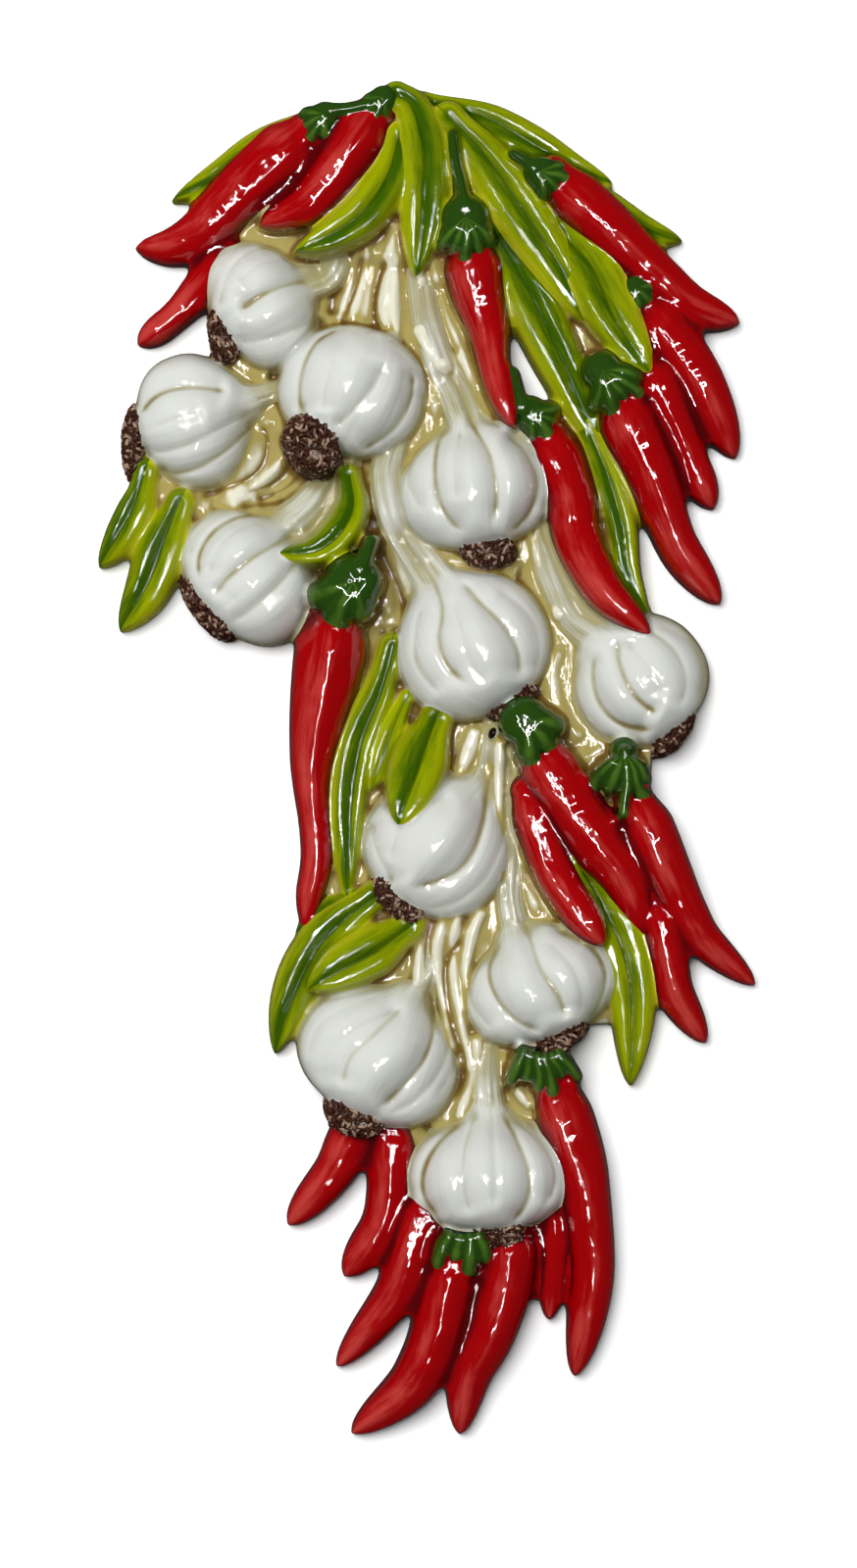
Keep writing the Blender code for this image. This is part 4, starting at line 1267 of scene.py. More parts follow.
    def read(self, values: Array, x: Array, y: Array) -> Array:
        """Reads a field between its spots."""
        u = np.clip((x + self.plate.half_width) / self.plate.step, 0, self.plate.shape[1] - 1.001)
        v = np.clip((y + self.plate.half_length) / self.plate.step, 0, self.plate.shape[0] - 1.001)
        i, j = u.astype(int), v.astype(int)
        fu, fv = u - i, v - j
        low = values[j, i] * (1 - fu) + values[j, i + 1] * fu
        high = values[j + 1, i] * (1 - fu) + values[j + 1, i + 1] * fu
        return low * (1 - fv) + high * fv


# ---- pieces ----


@dataclass
class Solid:
    """A closed piece of the casting, ready to be a mesh."""

    places: Array
    faces: list[Array]  # of the skin, the walls and the back
    normals: Array
    attributes: dict[str, Array]


class PieceCutter:
    """Cuts one part's share of the skin out as a closed solid that stands on the back face."""

    PLACES = ("along", "across", "share", "side", "tone")  # what a spot knows of its part
    LEAST_CELLS = 12  # a part that shows less is left out
    RIM_SHARE = 0.9  # the lowest that the skin comes, out of the rim

    def __init__(self, casting: Casting) -> None:
        """Works out the height of every spot."""
        self.casting = casting
        heights = casting.read(casting.skin, casting.x, casting.y)
        self.z = np.maximum(heights, casting.rim * self.RIM_SHARE)

    def cut(self, number: int, part: Part) -> Solid | None:
        """Makes the solid of one part.

        Args:
            number: The part's place in the casting's list.
            part: The part.

        Returns:
            The solid, or None where the part is hidden by others.
        """
        casting = self.casting
        mine = casting.label == number
        if mine.sum() < self.LEAST_CELLS:
            return None
        quads, border = self.outline(mine)
        used, flat = np.unique(quads.ravel(), return_inverse=True)
        quads = flat.reshape(-1, 4)
        border = np.searchsorted(used, border)
        rim, rim_flat = np.unique(border.ravel(), return_inverse=True)
        rim_edges = rim_flat.reshape(-1, 2)
        x, y, z = (values.ravel()[used] for values in (casting.x, casting.y, self.z))
        count = len(used)
        foot = np.stack([x[rim], y[rim], np.zeros(len(rim))], 1)
        places = np.concatenate([np.stack([x, y, z], 1), foot])
        slope_x, slope_y = casting.read(casting.slope_x, x, y), casting.read(casting.slope_y, x, y)
        top_normals = np.stack([-slope_x, -slope_y, np.ones(count)], 1)
        top_normals /= np.linalg.norm(top_normals, axis=1, keepdims=True)
        a, b = border[:, 0], border[:, 1]
        walls = np.stack([a, rim_edges[:, 0] + count, rim_edges[:, 1] + count, b], axis=1)
        run = places[b, :2] - places[a, :2]
        wall_normals = np.stack([run[:, 1], -run[:, 0], np.zeros(len(run))], 1)
        wall_normals /= np.maximum(np.linalg.norm(wall_normals, axis=1, keepdims=True), 1e-9)
        base = self.base(foot[:, :2], rim_edges) + count
        normals = np.concatenate([
            top_normals[quads.ravel()],
            np.repeat(wall_normals, 4, axis=0),
            np.tile([0.0, 0.0, -1.0], (base.size, 1)),
        ])
        return Solid(places * TO_METRES, [quads, walls, base], normals, self.surface(part, x, y, rim))

    def outline(self, mine: Array) -> tuple[Array, Array]:
        """Lists a part's cells and its border.

        Args:
            mine: Which cells are the part's.

        Returns:
            The four spots of each cell, and the two of each border edge, with the part on its left.
        """
        j, i = np.nonzero(mine)
        columns = self.casting.plate.shape[1]
        corner = j * columns + i
        quads = np.stack([corner, corner + 1, corner + columns + 1, corner + columns], axis=1)
        padded = np.pad(mine, 1)
        below, above = ~padded[:-2, 1:-1], ~padded[2:, 1:-1]
        left, right = ~padded[1:-1, :-2], ~padded[1:-1, 2:]
        edges = []
        for bare, a, b in ((below, 0, 1), (right, 1, 2), (above, 2, 3), (left, 3, 0)):
            chosen = bare[j, i]
            edges.append(np.stack([quads[chosen, a], quads[chosen, b]], axis=1))
        return quads, np.concatenate(edges)

    def surface(self, part: Part, x: Array, y: Array, rim: Array) -> dict[str, Array]:
        """Reads where each spot lies on its part, and how hollow it is there.

        Args:
            part: The part.
            x: The spots' x.
            y: The spots' y.
            rim: Which spots are on its border; they are repeated at its foot.

        Returns:
            Values for the spots and then for the foot, by name.
        """
        if isinstance(part, Stalks):
            found = {name: {"along": y, "across": x}.get(name, np.zeros(len(x))) for name in self.PLACES}
        else:
            relief = part.relief(x[None], y[None])
            found = {name: getattr(relief, name)[0] for name in self.PLACES}
        for name, values in self.casting.fields.items():
            found[name] = self.casting.read(values, x, y)
        found["line"] = draw_lines(x, y, getattr(part, "grooves", ()))[1]
        return {name: np.concatenate([values, values[rim]]) for name, values in found.items()}

    @staticmethod
    def base(points: Array, edges: Array) -> Array:
        """Closes the foot of a piece with triangles that face down.

        Args:
            points: Its corners.
            edges: Its border, with the piece on the left of each edge.

        Returns:
            Triangles of corner numbers.
        """
        result = delaunay_2d_cdt([tuple(p) for p in points.tolist()], edges.tolist(), [], 0, 1e-7, True)
        origin = np.array([given[0] if given else -1 for given in result[3]])
        triangles = np.array(result[2])
        places = np.array([tuple(p) for p in result[0]])
        centres = places[triangles].mean(1)
        start, end = points[edges[:, 0]], points[edges[:, 1]]
        low, high = start[:, 1], end[:, 1]
        crossing = (low[None] > centres[:, 1, None]) != (high[None] > centres[:, 1, None])
        rise = np.where(np.abs(high - low) < 1e-12, 1.0, high - low)
        at = start[:, 0] + (centres[:, 1, None] - low) * (end[:, 0] - start[:, 0]) / rise
        inside = (crossing & (at > centres[:, 0, None])).sum(1) % 2 == 1
        kept = origin[triangles[inside]]
        kept = kept[(kept >= 0).all(1)]
        a, b, c = points[kept[:, 0]], points[kept[:, 1]], points[kept[:, 2]]
        turn = (b[:, 0] - a[:, 0]) * (c[:, 1] - a[:, 1]) - (b[:, 1] - a[:, 1]) * (c[:, 0] - a[:, 0])
        return np.where((turn > 0)[:, None], kept[:, ::-1], kept)


def mesh_object(name: str, solid: Solid) -> bpy.types.Object:
    """Turns a solid into a mesh object at the origin."""
    mesh = bpy.data.meshes.new(name)
    mesh.vertices.add(len(solid.places))
    mesh.vertices.foreach_set("co", solid.places.astype(np.float32).ravel())
    loops = np.concatenate([faces.ravel() for faces in solid.faces])
    sizes = np.concatenate([np.full(len(faces), faces.shape[1]) for faces in solid.faces])
    mesh.loops.add(len(loops))
    mesh.loops.foreach_set("vertex_index", loops.astype(np.int32))
    mesh.polygons.add(len(sizes))
    starts = np.concatenate([[0], np.cumsum(sizes)[:-1]])
    mesh.polygons.foreach_set("loop_start", starts.astype(np.int32))
    mesh.update(calc_edges=True)
    mesh.polygons.foreach_set("use_smooth", np.ones(len(sizes), bool))
    for key, values in solid.attributes.items():
        layer = mesh.attributes.new(key, "FLOAT", "POINT")
        layer.data.foreach_set("value", values.astype(np.float32))
    skin, *under = (len(faces) for faces in solid.faces)
    shell = mesh.attributes.new("shell", "FLOAT", "FACE")
    shell.data.foreach_set("value", np.repeat([1.0, 0.0], [skin, sum(under)]).astype(np.float32))
    mesh.normals_split_custom_set(solid.normals.tolist())
    obj = bpy.data.objects.new(name, mesh)
    bpy.context.scene.collection.objects.link(obj)
    return obj


# ---- glazes ----


Colour = tuple[float, float, float]


def add_node(
    tree: bpy.types.NodeTree, kind: str, settings: dict | None = None, inputs: dict | None = None
) -> bpy.types.Node:
    """Adds a node to a tree.

    Args:
        tree: The tree.
        kind: The node's type.
        settings: Properties, set before the sockets.
        inputs: Values or links, by socket name or number.

    Returns:
        The node.
    """
    node = tree.nodes.new(kind)
    for key, value in (settings or {}).items():
        setattr(node, key, value)
    for key, value in (inputs or {}).items():
        feed(tree, node.inputs[key], value)
    return node


def feed(tree: bpy.types.NodeTree, socket: bpy.types.NodeSocket, value: object) -> None:
    """Links or sets one socket."""
    if isinstance(value, Value):
        value = value.socket
    if isinstance(value, bpy.types.NodeSocket):
        tree.links.new(value, socket)
    elif socket.type == "RGBA":
        socket.default_value = (*value, 1.0)
    else:
        socket.default_value = value


class Value:
    """A number that varies over a surface, for writing shader maths as expressions."""

    def __init__(self, glaze: GlazeTree, socket: bpy.types.NodeSocket) -> None:
        """Wraps a socket of a material's tree."""
        self.glaze = glaze
        self.socket = socket

    def _math(self, operation: str, *values: Value | float) -> Value:
        """Adds one Math node."""
        node = self.glaze.node("ShaderNodeMath", {"operation": operation}, dict(enumerate(values)))
        return Value(self.glaze, node.outputs[0])

    def __add__(self, other: Value | float) -> Value:
        """Adds."""
        return self._math("ADD", self, other)

    __radd__ = __add__

    def __mul__(self, other: Value | float) -> Value:
        """Multiplies."""
        return self._math("MULTIPLY", self, other)

    __rmul__ = __mul__

    def __sub__(self, other: Value | float) -> Value:
        """Takes away."""
        return self._math("SUBTRACT", self, other)

    def __rsub__(self, other: Value | float) -> Value:
        """Takes this from the other."""
        return self._math("SUBTRACT", other, self)

    def __abs__(self) -> Value:
        """Drops the sign."""
        return self._math("ABSOLUTE", self)

    def rise(self, low: float, high: float) -> Value:
        """Rises smoothly from 0 at low to 1 at high; falls where low is above high."""
        start, stop, out = (low, high, (0.0, 1.0)) if low < high else (high, low, (1.0, 0.0))
        inputs = {"Value": self, "From Min": start, "From Max": stop, "To Min": out[0], "To Max": out[1]}
        node = self.glaze.node("ShaderNodeMapRange", {"interpolation_type": "SMOOTHSTEP"}, inputs)
        return Value(self.glaze, node.outputs[0])


class GlazeTree:
    """The nodes of one glaze."""

    INDEX = 1.52  # how strongly the glaze bends light

    def __init__(self, name: str) -> None:
        """Starts a material that has only its shader."""
        self.material = bpy.data.materials.new(name)
        self.material.use_nodes = True
        self.tree = self.material.node_tree
        self.shader = self.tree.nodes["Principled BSDF"]

    def node(self, kind: str, settings: dict | None = None, inputs: dict | None = None) -> bpy.types.Node:
        """Adds a node to the glaze."""
        return add_node(self.tree, kind, settings, inputs)

    def attributes(self, *names: str) -> list[Value]:
        """Reads numbers carried by the surface."""
        kind, carried = "ShaderNodeAttribute", {"attribute_type": "GEOMETRY"}
        nodes = [self.node(kind, {"attribute_name": name, **carried}) for name in names]
        return [Value(self, node.outputs["Fac"]) for node in nodes]

    def place(self, x: Value | float, y: Value | float, z: Value | float = 0.0) -> bpy.types.NodeSocket:
        """Joins three numbers into a place for a pattern."""
        return self.node("ShaderNodeCombineXYZ", {}, {"X": x, "Y": y, "Z": z}).outputs[0]

    def noise(
        self, place: bpy.types.NodeSocket, scale: float, detail: float = 2.0, rough: float = 0.5
    ) -> Value:
        """Reads cloudy noise at a place."""
        inputs = {"Vector": place, "Scale": scale, "Detail": detail, "Roughness": rough}
        return Value(self, self.node("ShaderNodeTexNoise", {}, inputs).outputs[0])

    def object_place(self) -> bpy.types.NodeSocket:
        """Gives the place in the object's own coordinates."""
        return self.node("ShaderNodeTexCoord").outputs["Object"]

    def height(self) -> Value:
        """Gives the height above the back, in metres."""
        node = self.node("ShaderNodeSeparateXYZ", {}, {"Vector": self.object_place()})
        return Value(self, node.outputs[2])

    def blend(
        self, share: Value, low: Colour | bpy.types.NodeSocket, high: Colour | bpy.types.NodeSocket
    ) -> bpy.types.NodeSocket:
        """Mixes two colours, the second by share."""
        return self.node("ShaderNodeMix", {"data_type": "RGBA"}, {0: share, 6: low, 7: high}).outputs[2]

    def finish(
        self,
        colour: bpy.types.NodeSocket,
        roughness: float,
        bump: Value,
        depth: float,
        bare: Value | float | None = None,
    ) -> bpy.types.Material:
        """Feeds the shader.

        Args:
            colour: The colour over the surface.
            roughness: How dull it is.
            bump: Fine relief in millimetres.
            depth: Strength of the fine relief.
            bare: How far the glaze has run off, where only the dull stain is left.

        Returns:
            The finished material.
        """
        feed(self.tree, self.shader.inputs["Base Color"], colour)
        feed(self.tree, self.shader.inputs["Roughness"], roughness)
        feed(self.tree, self.shader.inputs["IOR"], self.INDEX)
        relief = self.node("ShaderNodeBump", {}, {"Height": bump, "Strength": depth, "Distance": TO_METRES})
        feed(self.tree, self.shader.inputs["Normal"], relief.outputs[0])
        if bare is not None:
            dull = {"Base Color": colour, "Roughness": 0.9, "Specular IOR Level": 0.0}
            stain = self.node("ShaderNodeBsdfPrincipled", {}, dull)
            both = {0: bare, 1: self.shader.outputs[0], 2: stain.outputs[0]}
            mixed = self.node("ShaderNodeMixShader", {}, both)
            feed(self.tree, self.tree.nodes["Material Output"].inputs["Surface"], mixed.outputs[0])
        return self.material


@dataclass(frozen=True)
class GarlicGlaze:
    """Cool white glaze, washed with cream and ochre where it pools, with painted shade in its hollows,
    creases and pleats.
    """

    white: Colour = (0.53, 0.543, 0.507)
    shade: Colour = (0.325, 0.337, 0.302)
    cream: Colour = (0.29, 0.262, 0.125)
    ochre: Colour = (0.17, 0.125, 0.04)
    roughness: float = 0.06

    def material(self) -> bpy.types.Material:
        """Builds the glaze."""
        g = GlazeTree("garlic_glaze")
        crease, hollow, line = g.attributes("crease", "hollow", "line")
        share, side, stalk = g.attributes("share", "side", "tone")
        spot = g.object_place()
        cloud = g.noise(spot, 48.0, 3.0)
        brush = g.noise(g.place(side * 5.0, share * 1.6, cloud), 1.6, 3.0, 0.6)
        pleat = g.noise(g.place(side * 11.0, share * 1.1), 1.0, 2.0, 0.5)
        # painted shade: grey in the hollows and creases and along the pleats of the skin, broken by brush
        # marks
        dip = (hollow * 0.9 + crease * 0.25 + (brush - 0.5) * 0.4 + (pleat - 0.5) * 0.9).rise(-0.02, 0.75)
        colour = g.blend(dip * 0.85, self.white, self.shade)
        neck = share.rise(0.22, -0.1) * 0.4 + stalk * 0.25
        low = (g.height() * 70.0 + (cloud - 0.5) * 0.9).rise(1.35, 0.35)
        wash = (hollow + (cloud - 0.5) * 1.0).rise(0.2, 1.2) * 0.5 + neck * brush.rise(0.3, 0.8) + low * 0.9
        colour = g.blend(wash.rise(0.0, 1.1), colour, self.cream)
        pooled = (crease * 0.3 + line * 0.75 + (cloud - 0.5) * 0.9).rise(0.2, 1.1)
        colour = g.blend(pooled * 0.75, colour, self.cream)
        deep = (crease * 0.3 + line * 1.1 + (cloud - 0.5) * 2.0).rise(1.0, 1.7)
        colour = g.blend(deep * 0.85, colour, self.ochre)
        papery = g.noise(g.place(side * 22.0, share * 2.0), 1.0, 2.0)
        return g.finish(colour, self.roughness, papery, 0.16)


@dataclass(frozen=True)
class ChilliGlaze:
    """Crimson glaze that runs thin and pinkish on the swellings with a painted sheen along the crest, and
    pools maroon in the valleys with painted shade there and on the flanks.
    """

    crimson: Colour = (0.27, 0.0, 0.001)
    maroon: Colour = (0.065, 0.0, 0.001)
    thin_coral_and_sheen: Colour = (0.42, 0.042, 0.035)
    roughness: float = 0.05

    def material(self) -> bpy.types.Material:
        """Builds the glaze."""
        g = GlazeTree("chilli_glaze")
        crease, hollow = g.attributes("crease", "hollow")
        along, across, share, side, tone = g.attributes("along", "across", "share", "side", "tone")
        streak = g.noise(g.place(along * 0.035, across * 0.30, tone), 1.5, 3.0, 0.55)
        patch = g.noise(g.object_place(), 42.0, 3.0, 0.6)
        # painted shade: maroon in the hollows and creases, on the flanks and towards the tip, broken by
        # streaks and patches of the glaze's own tone
        flank_shade = abs(side).rise(0.5, 1.0)
        pool = hollow * 0.8 + crease * 0.35 + flank_shade * 0.6 + share.rise(0.8, 1.0) * 0.4
        pool = pool + (streak - 0.5) * 1.2 + (patch - 0.5) * 0.8
        colour = g.blend(pool.rise(0.0, 1.05), self.crimson, self.maroon)
        # pinkish where the glaze runs thin, and painted sheen: lighter along the crest, a little to one side
        # of it
        crest = abs(side + 0.2).rise(0.8, 0.1)
        thin = (streak * 1.0 + patch * 0.6 - hollow * 0.3 + crest * 0.22 - pool * 0.05).rise(1.06, 1.46)
        colour = g.blend(thin * crest * 0.85, colour, self.thin_coral_and_sheen)
        ripple = g.noise(g.object_place(), 150.0, 1.0)
        return g.finish(colour, self.roughness, streak * 0.3 + ripple, 0.42)


@dataclass(frozen=True)
class LeafGlaze:
    """Two greens, one to each lobe, brushed lengthwise."""

    lime: Colour = (0.235, 0.275, 0.0)
    green: Colour = (0.027, 0.074, 0.0)
    deep: Colour = (0.010, 0.034, 0.0)
    yellow: Colour = (0.42, 0.40, 0.012)
    roughness: float = 0.055

    def material(self) -> bpy.types.Material:
        """Builds the glaze."""
        g = GlazeTree("leaf_glaze")
        crease, along, across = g.attributes("crease", "along", "across")
        share, side, tone = g.attributes("share", "side", "tone")
        streak = g.noise(g.place(along * 0.05, across * 0.4, side), 1.6, 4.0, 0.6)
        patch = g.noise(g.object_place(), 60.0, 2.0)
        inner = abs(side).rise(0.75, 0.15)
        mix = (tone * 0.8 + inner * 0.45 - 0.1 + (streak - 0.5) * 1.1 + (patch - 0.5) * 0.4).rise(0.0, 1.0)
        colour = g.blend(mix, self.lime, self.green)
        fold = abs(side).rise(0.13, 0.0) * (1.0 - share * 0.3)
        colour = g.blend((fold * 0.8 + crease.rise(0.25, 1.3) * 0.45) * 0.85, colour, self.deep)
        rim = (abs(side) + (streak - 0.5) * 0.3).rise(0.74, 0.98) * (1.0 - tone * 0.6)
        colour = g.blend(rim * 0.8, colour, self.yellow)
        return g.finish(colour, self.roughness, streak, 0.2, fold)


@dataclass(frozen=True)
class CalyxGlaze:
    """Bottle green glaze, lighter on the crest of each lobe."""

    green: Colour = (0.014, 0.045, 0.003)
    dark: Colour = (0.001, 0.006, 0.001)
    light: Colour = (0.055, 0.12, 0.012)
    roughness: float = 0.055

    def material(self) -> bpy.types.Material:
        """Builds the glaze."""
        g = GlazeTree("calyx_glaze")
        crease, tone, share = g.attributes("crease", "tone", "share")
        patch = g.noise(g.object_place(), 130.0, 3.0, 0.6)
        colour = g.blend((tone * 0.7 + patch * 0.8).rise(0.75, 1.3), self.green, self.light)
        pool = (crease + (patch - 0.5) + share * 0.15).rise(0.2, 1.2)
        colour = g.blend(pool, colour, self.dark)
        return g.finish(colour, self.roughness, patch, 0.25)


@dataclass(frozen=True)
class RootGlaze:
    """Chocolate glaze wiped thin, so that the crests of the rootlets show beige."""

    chocolate: Colour = (0.034, 0.010, 0.005)
    dark: Colour = (0.005, 0.001, 0.001)
    beige: Colour = (0.38, 0.26, 0.18)
    roughness: float = 0.15
    wiped: float = 0.6  # how much of the gloss is wiped off

    def material(self) -> bpy.types.Material:
        """Builds the glaze."""
        g = GlazeTree("root_glaze")
        fleck, lift = g.attributes("fleck", "lift")
        patch = g.noise(g.object_place(), 260.0, 3.0, 0.6)
        colour = g.blend((lift + (patch - 0.5) * 0.6).rise(0.1, 0.7), self.dark, self.chocolate)
        crest = (fleck * 0.8 + lift * 0.7 + patch * 0.9).rise(1.5, 1.85)
        colour = g.blend(crest * 0.8, colour, self.beige)
        return g.finish(colour, self.roughness, patch, 0.4, self.wiped)


@dataclass(frozen=True)
class StalkGlaze:
    """Ivory glaze over dry stalks, with ochre run into the grooves."""

    ivory: Colour = (0.60, 0.585, 0.47)
    cream: Colour = (0.305, 0.25, 0.078)
    ochre: Colour = (0.15, 0.088, 0.013)
    brown: Colour = (0.09, 0.04, 0.008)
    roughness: float = 0.07

    def material(self) -> bpy.types.Material:
        """Builds the glaze."""
        g = GlazeTree("stalk_glaze")
        crease, hollow, line = g.attributes("crease", "hollow", "line")
        along, across = g.attributes("along", "across")
        streak = g.noise(g.place(along * 0.05, across * 0.3), 1.5, 3.0, 0.6)
        patch = g.noise(g.object_place(), 38.0, 3.0)
        pool = hollow * 1.1 + crease * 0.6 + (streak - 0.5) * 0.7 + (patch - 0.5) * 1.0 + 0.14
        colour = g.blend(pool.rise(-0.05, 0.7), self.ivory, self.cream)
        run = (crease * 0.7 + line + (patch - 0.5) * 1.3).rise(0.35, 1.2)
        colour = g.blend(run * 0.85, colour, self.ochre)
        deep = (crease * 0.8 + line * 0.9 + (streak - 0.5) * 0.8).rise(1.1, 1.9)
        colour = g.blend(deep * 0.8, colour, self.brown)
        return g.finish(colour, self.roughness, streak, 0.2)


# ---- rootlets ----


@dataclass
class Rootlets:
    """The cut rootlets that stand on a root plate, scattered by Geometry Nodes."""

    spacing: float = 0.0010
    radius: float = 0.00095
    seed: int = 7
    density: float = 3.0e6  # the most to a square metre
    tilt: float = 0.3  # how far they lean, in radians
    lift: float = 0.8  # how far their glaze is wiped

    def tree(self, glaze: bpy.types.Material) -> bpy.types.NodeTree:
        """Builds the node tree.

        Args:
            glaze: The material that everything in it wears.

        Returns:
            The tree, with inputs for the spacing, the size and the seed.
        """
        tree = bpy.data.node_groups.new("rootlets", "GeometryNodeTree")
        for name, kind in (("Plate", "Geometry"), ("Spacing", "Float"), ("Radius", "Float"), ("Seed", "Int")):
            tree.interface.new_socket(name, in_out="INPUT", socket_type=f"NodeSocket{kind}")
        tree.interface.new_socket("Rooted", in_out="OUTPUT", socket_type="NodeSocketGeometry")
        add = partial(add_node, tree)
        given = add("NodeGroupInput").outputs
        shell = add("GeometryNodeInputNamedAttribute", {"data_type": "FLOAT"}, {"Name": "shell"})
        on_top = add("FunctionNodeCompare", {"data_type": "FLOAT", "operation": "GREATER_THAN"},
                     {0: shell.outputs[0], 1: 0.99})
        spread = add("GeometryNodeDistributePointsOnFaces", {"distribute_method": "POISSON"}, {
            "Mesh": given["Plate"], "Distance Min": given["Spacing"], "Density Max": self.density,
            "Seed": given["Seed"], "Selection": on_top.outputs[0],
        })
        nub = add("GeometryNodeMeshUVSphere", {}, {"Radius": given["Radius"], "Rings": 6, "Segments": 8})
        turn = add("FunctionNodeRandomValue", {"data_type": "FLOAT_VECTOR"}, {
            0: (-self.tilt, -self.tilt, 0.0), 1: (self.tilt, self.tilt, 2 * math.pi), "Seed": given["Seed"],
        })
        turned = add("FunctionNodeRotateRotation", {"rotation_space": "LOCAL"},
                     {0: spread.outputs["Rotation"], 1: turn.outputs[0]})
        size = add("FunctionNodeRandomValue", {"data_type": "FLOAT_VECTOR"},
                   {0: (1.3, 0.5, 0.7), 1: (2.0, 0.7, 1.1), "Seed": 3})
        nubs = add("GeometryNodeInstanceOnPoints", {}, {
            "Points": spread.outputs["Points"], "Instance": nub.outputs["Mesh"],
            "Rotation": turned.outputs[0], "Scale": size.outputs[0],
        })
        chance = add("FunctionNodeRandomValue", {"data_type": "FLOAT"}, {"Seed": 11})
        flecked = add("GeometryNodeStoreNamedAttribute", {"data_type": "FLOAT", "domain": "INSTANCE"},
                      {"Geometry": nubs.outputs[0], "Name": "fleck", "Value": chance.outputs[1]})
        real = add("GeometryNodeRealizeInstances", {}, {"Geometry": flecked.outputs[0]})
        lifted = add("GeometryNodeStoreNamedAttribute", {"data_type": "FLOAT", "domain": "POINT"},
                     {"Geometry": real.outputs[0], "Name": "lift", "Value": self.lift})
        smooth = add("GeometryNodeSetShadeSmooth", {}, {"Geometry": lifted.outputs[0]})
        joined = add("GeometryNodeJoinGeometry")
        tree.links.new(given["Plate"], joined.inputs[0])
        tree.links.new(smooth.outputs[0], joined.inputs[0])
        real_all = add("GeometryNodeRealizeInstances", {}, {"Geometry": joined.outputs[0]})
        dressed = add("GeometryNodeSetMaterial", {}, {"Geometry": real_all.outputs[0], "Material": glaze})
        add("NodeGroupOutput", {}, {0: dressed.outputs[0]})
        return tree

    def grow(self, plate: bpy.types.Object, tree: bpy.types.NodeTree) -> None:
        """Grows rootlets on a plate, and leaves the plate a plain mesh."""
        modifier = plate.modifiers.new("rootlets", "NODES")
        modifier.node_group = tree
        sockets = {item.name: item.identifier for item in tree.interface.items_tree if item.in_out == "INPUT"}
        modifier[sockets["Spacing"]] = self.spacing
        modifier[sockets["Radius"]] = self.radius
        modifier[sockets["Seed"]] = self.seed
        graph = bpy.context.evaluated_depsgraph_get()
        grown = bpy.data.meshes.new_from_object(plate.evaluated_get(graph))
        plate.modifiers.remove(modifier)
        old = plate.data
        plate.data = grown
        bpy.data.meshes.remove(old)


# ---- the plaque ----


@dataclass
class GarlicBraid:
    """The whole plaque."""

    step: float  # distance between the spots of the relief, in millimetres
    least_radius: float = 3.0  # a brown mark smaller than this has no rootlets

    @staticmethod
    def parts() -> list[Part]:
        """Lists everything that is pressed on to the plate."""
        return [GROUND, *LEAVES, *HEADS, *PEPPERS, *CAPS, *ROOT_PLATES]

    @staticmethod
    def mix_glazes() -> dict[Kind, bpy.types.Material]:
        """Makes each glaze once."""
        return {
            Kind.GARLIC: GarlicGlaze().material(),
            Kind.CHILLI: ChilliGlaze().material(),
            Kind.LEAF: LeafGlaze().material(),
            Kind.CALYX: CalyxGlaze().material(),
            Kind.ROOT: RootGlaze().material(),
            Kind.STALK: StalkGlaze().material(),
        }

    def build(self) -> None:
        """Casts the plaque, cuts it into its pieces, and dresses them."""
        parts = self.parts()
        casting = Casting(Plate(self.step), parts)
        casting.press()
        casting.tidy_seams()
        casting.snap()
        cutter = PieceCutter(casting)
        glazes = self.mix_glazes()
        rootlets = Rootlets()
        root_tree = rootlets.tree(glazes[Kind.ROOT])
        for number, part in enumerate(parts):
            solid = cutter.cut(number, part)
            if solid is None:
                LOG.warning("%s is hidden", part.name)
                continue
            piece = mesh_object(part.name, solid)
            piece.data.materials.append(glazes[part.kind])
            if isinstance(part, RootPlate) and min(part.radius) > self.least_radius:
                rootlets.grow(piece, root_tree)
            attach(piece, BODY)
            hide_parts(CAD_NODE)
            LOG.info("%s: %d faces", part.name, len(piece.data.polygons))


@dataclass(frozen=True)
class Lamp:
    """One light of the studio, which looks at the middle of the plaque."""

    name: str
    place: tuple[float, float, float]
    size: tuple[float, float]
    power: float
    turn: float = 0.0  # degrees about its own line of sight
    mirrored: bool = True  # a bare tube that the glaze shows as a highlight, rather than a soft light

    def hang(self) -> None:
        """Adds the light to the scene."""
        lamp = bpy.data.lights.new(self.name, "AREA")
        lamp.shape = "RECTANGLE"
        lamp.size, lamp.size_y = self.size
        lamp.energy = self.power
        light = bpy.data.objects.new(self.name, lamp)
        aim = (-Vector(self.place)).to_track_quat("-Z", "Y").to_matrix().to_4x4()
        light.rotation_euler = (aim @ Matrix.Rotation(math.radians(self.turn), 4, "Z")).to_euler()
        light.location = self.place
        light.visible_glossy = self.mirrored
        light.visible_diffuse = not self.mirrored
        light.visible_camera = False
        bpy.context.scene.collection.objects.link(light)


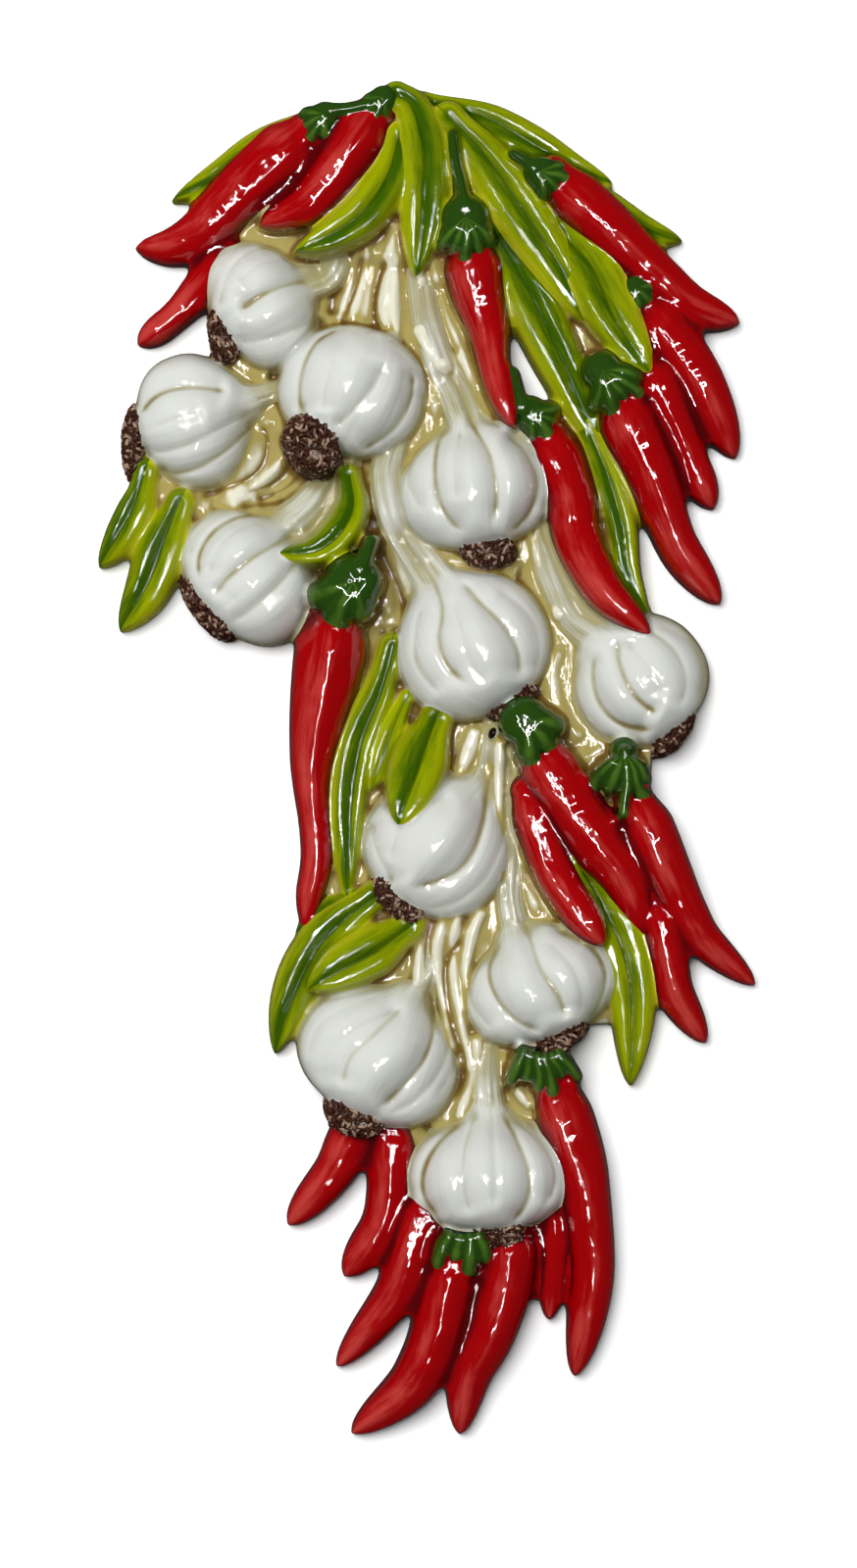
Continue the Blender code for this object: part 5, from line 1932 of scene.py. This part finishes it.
@dataclass(frozen=True)
class Studio:
    """A pale floor, soft light and the camera above the plaque."""

    camera_height: float = 1.5
    view_length: float = 0.5333
    view_centre: tuple[float, float] = (0.00033, -0.00867)
    sensor: float = 36.0
    mid_relief: float = 0.010
    floor_size: float = 6.0
    floor_drop: float = 0.0003
    floor_colour: Colour = (0.95, 0.95, 0.95)
    sky: float = 0.04
    sky_colour: Colour = (0.95, 0.98, 1.0)

    LAMPS = (
        Lamp("soft_overhead", (-0.50, 0.60, 2.1), (1.3, 1.3), 68.0, mirrored=False),
        Lamp("soft_left", (-1.7, 0.2, 1.2), (1.0, 1.0), 6.0, mirrored=False),
        Lamp("soft_right", (1.7, 0.2, 1.2), (1.0, 1.0), 6.0, mirrored=False),
        Lamp("tube_down", (0.02, -0.36, 2.2), (0.034, 1.15), 20.0),
        Lamp("tube_left", (-0.36, -0.14, 2.2), (0.035, 1.0), 16.0, -62.0),
        Lamp("tube_right", (0.38, -0.18, 2.2), (0.035, 1.0), 16.0, 58.0),
    )

    def floor(self) -> None:
        """Lays the floor that the plaque lies on."""
        mesh = bpy.data.meshes.new("floor")
        half, z = self.floor_size / 2, -self.floor_drop
        corners = [(-half, -half, z), (half, -half, z), (half, half, z), (-half, half, z)]
        mesh.from_pydata(corners, [], [(0, 1, 2, 3)])
        floor = bpy.data.objects.new("floor", mesh)
        bpy.context.scene.collection.objects.link(floor)
        matte = GlazeTree("pale_floor")
        looks = {"Base Color": self.floor_colour, "Roughness": 0.9, "Specular IOR Level": 0.1}
        for name, value in looks.items():
            feed(matte.tree, matte.shader.inputs[name], value)
        mesh.materials.append(matte.material)
        floor.visible_glossy = False

    def lights(self) -> None:
        """Sets the soft daylight and the lamps."""
        world = bpy.data.worlds.new("studio")
        world.use_nodes = True
        sky = world.node_tree.nodes["Background"]
        feed(world.node_tree, sky.inputs["Color"], self.sky_colour)
        feed(world.node_tree, sky.inputs["Strength"], self.sky)
        bpy.context.scene.world = world
        for lamp in self.LAMPS:
            lamp.hang()

    def camera(self) -> None:
        """Sets the camera straight above the plaque."""
        data = bpy.data.cameras.new("camera")
        data.sensor_width = self.sensor
        data.lens = self.sensor * (self.camera_height - self.mid_relief) / self.view_length
        camera = bpy.data.objects.new("camera", data)
        camera.location = (*self.view_centre, self.camera_height)
        bpy.context.scene.collection.objects.link(camera)
        bpy.context.scene.camera = camera

    def build(self) -> None:
        """Sets the whole studio, and has colours shown as they are."""
        bpy.context.scene.view_settings.view_transform = "Standard"
        self.floor()
        self.lights()
        self.camera()


FINE_STEP, QUICK_STEP = 0.45, 0.8


def main() -> None:
    """Builds the plaque and its studio."""
    logging.basicConfig(level=logging.INFO, format="%(message)s")
    Studio().build()
    GarlicBraid(FINE_STEP).build()


if __name__ == "__main__":
    main()
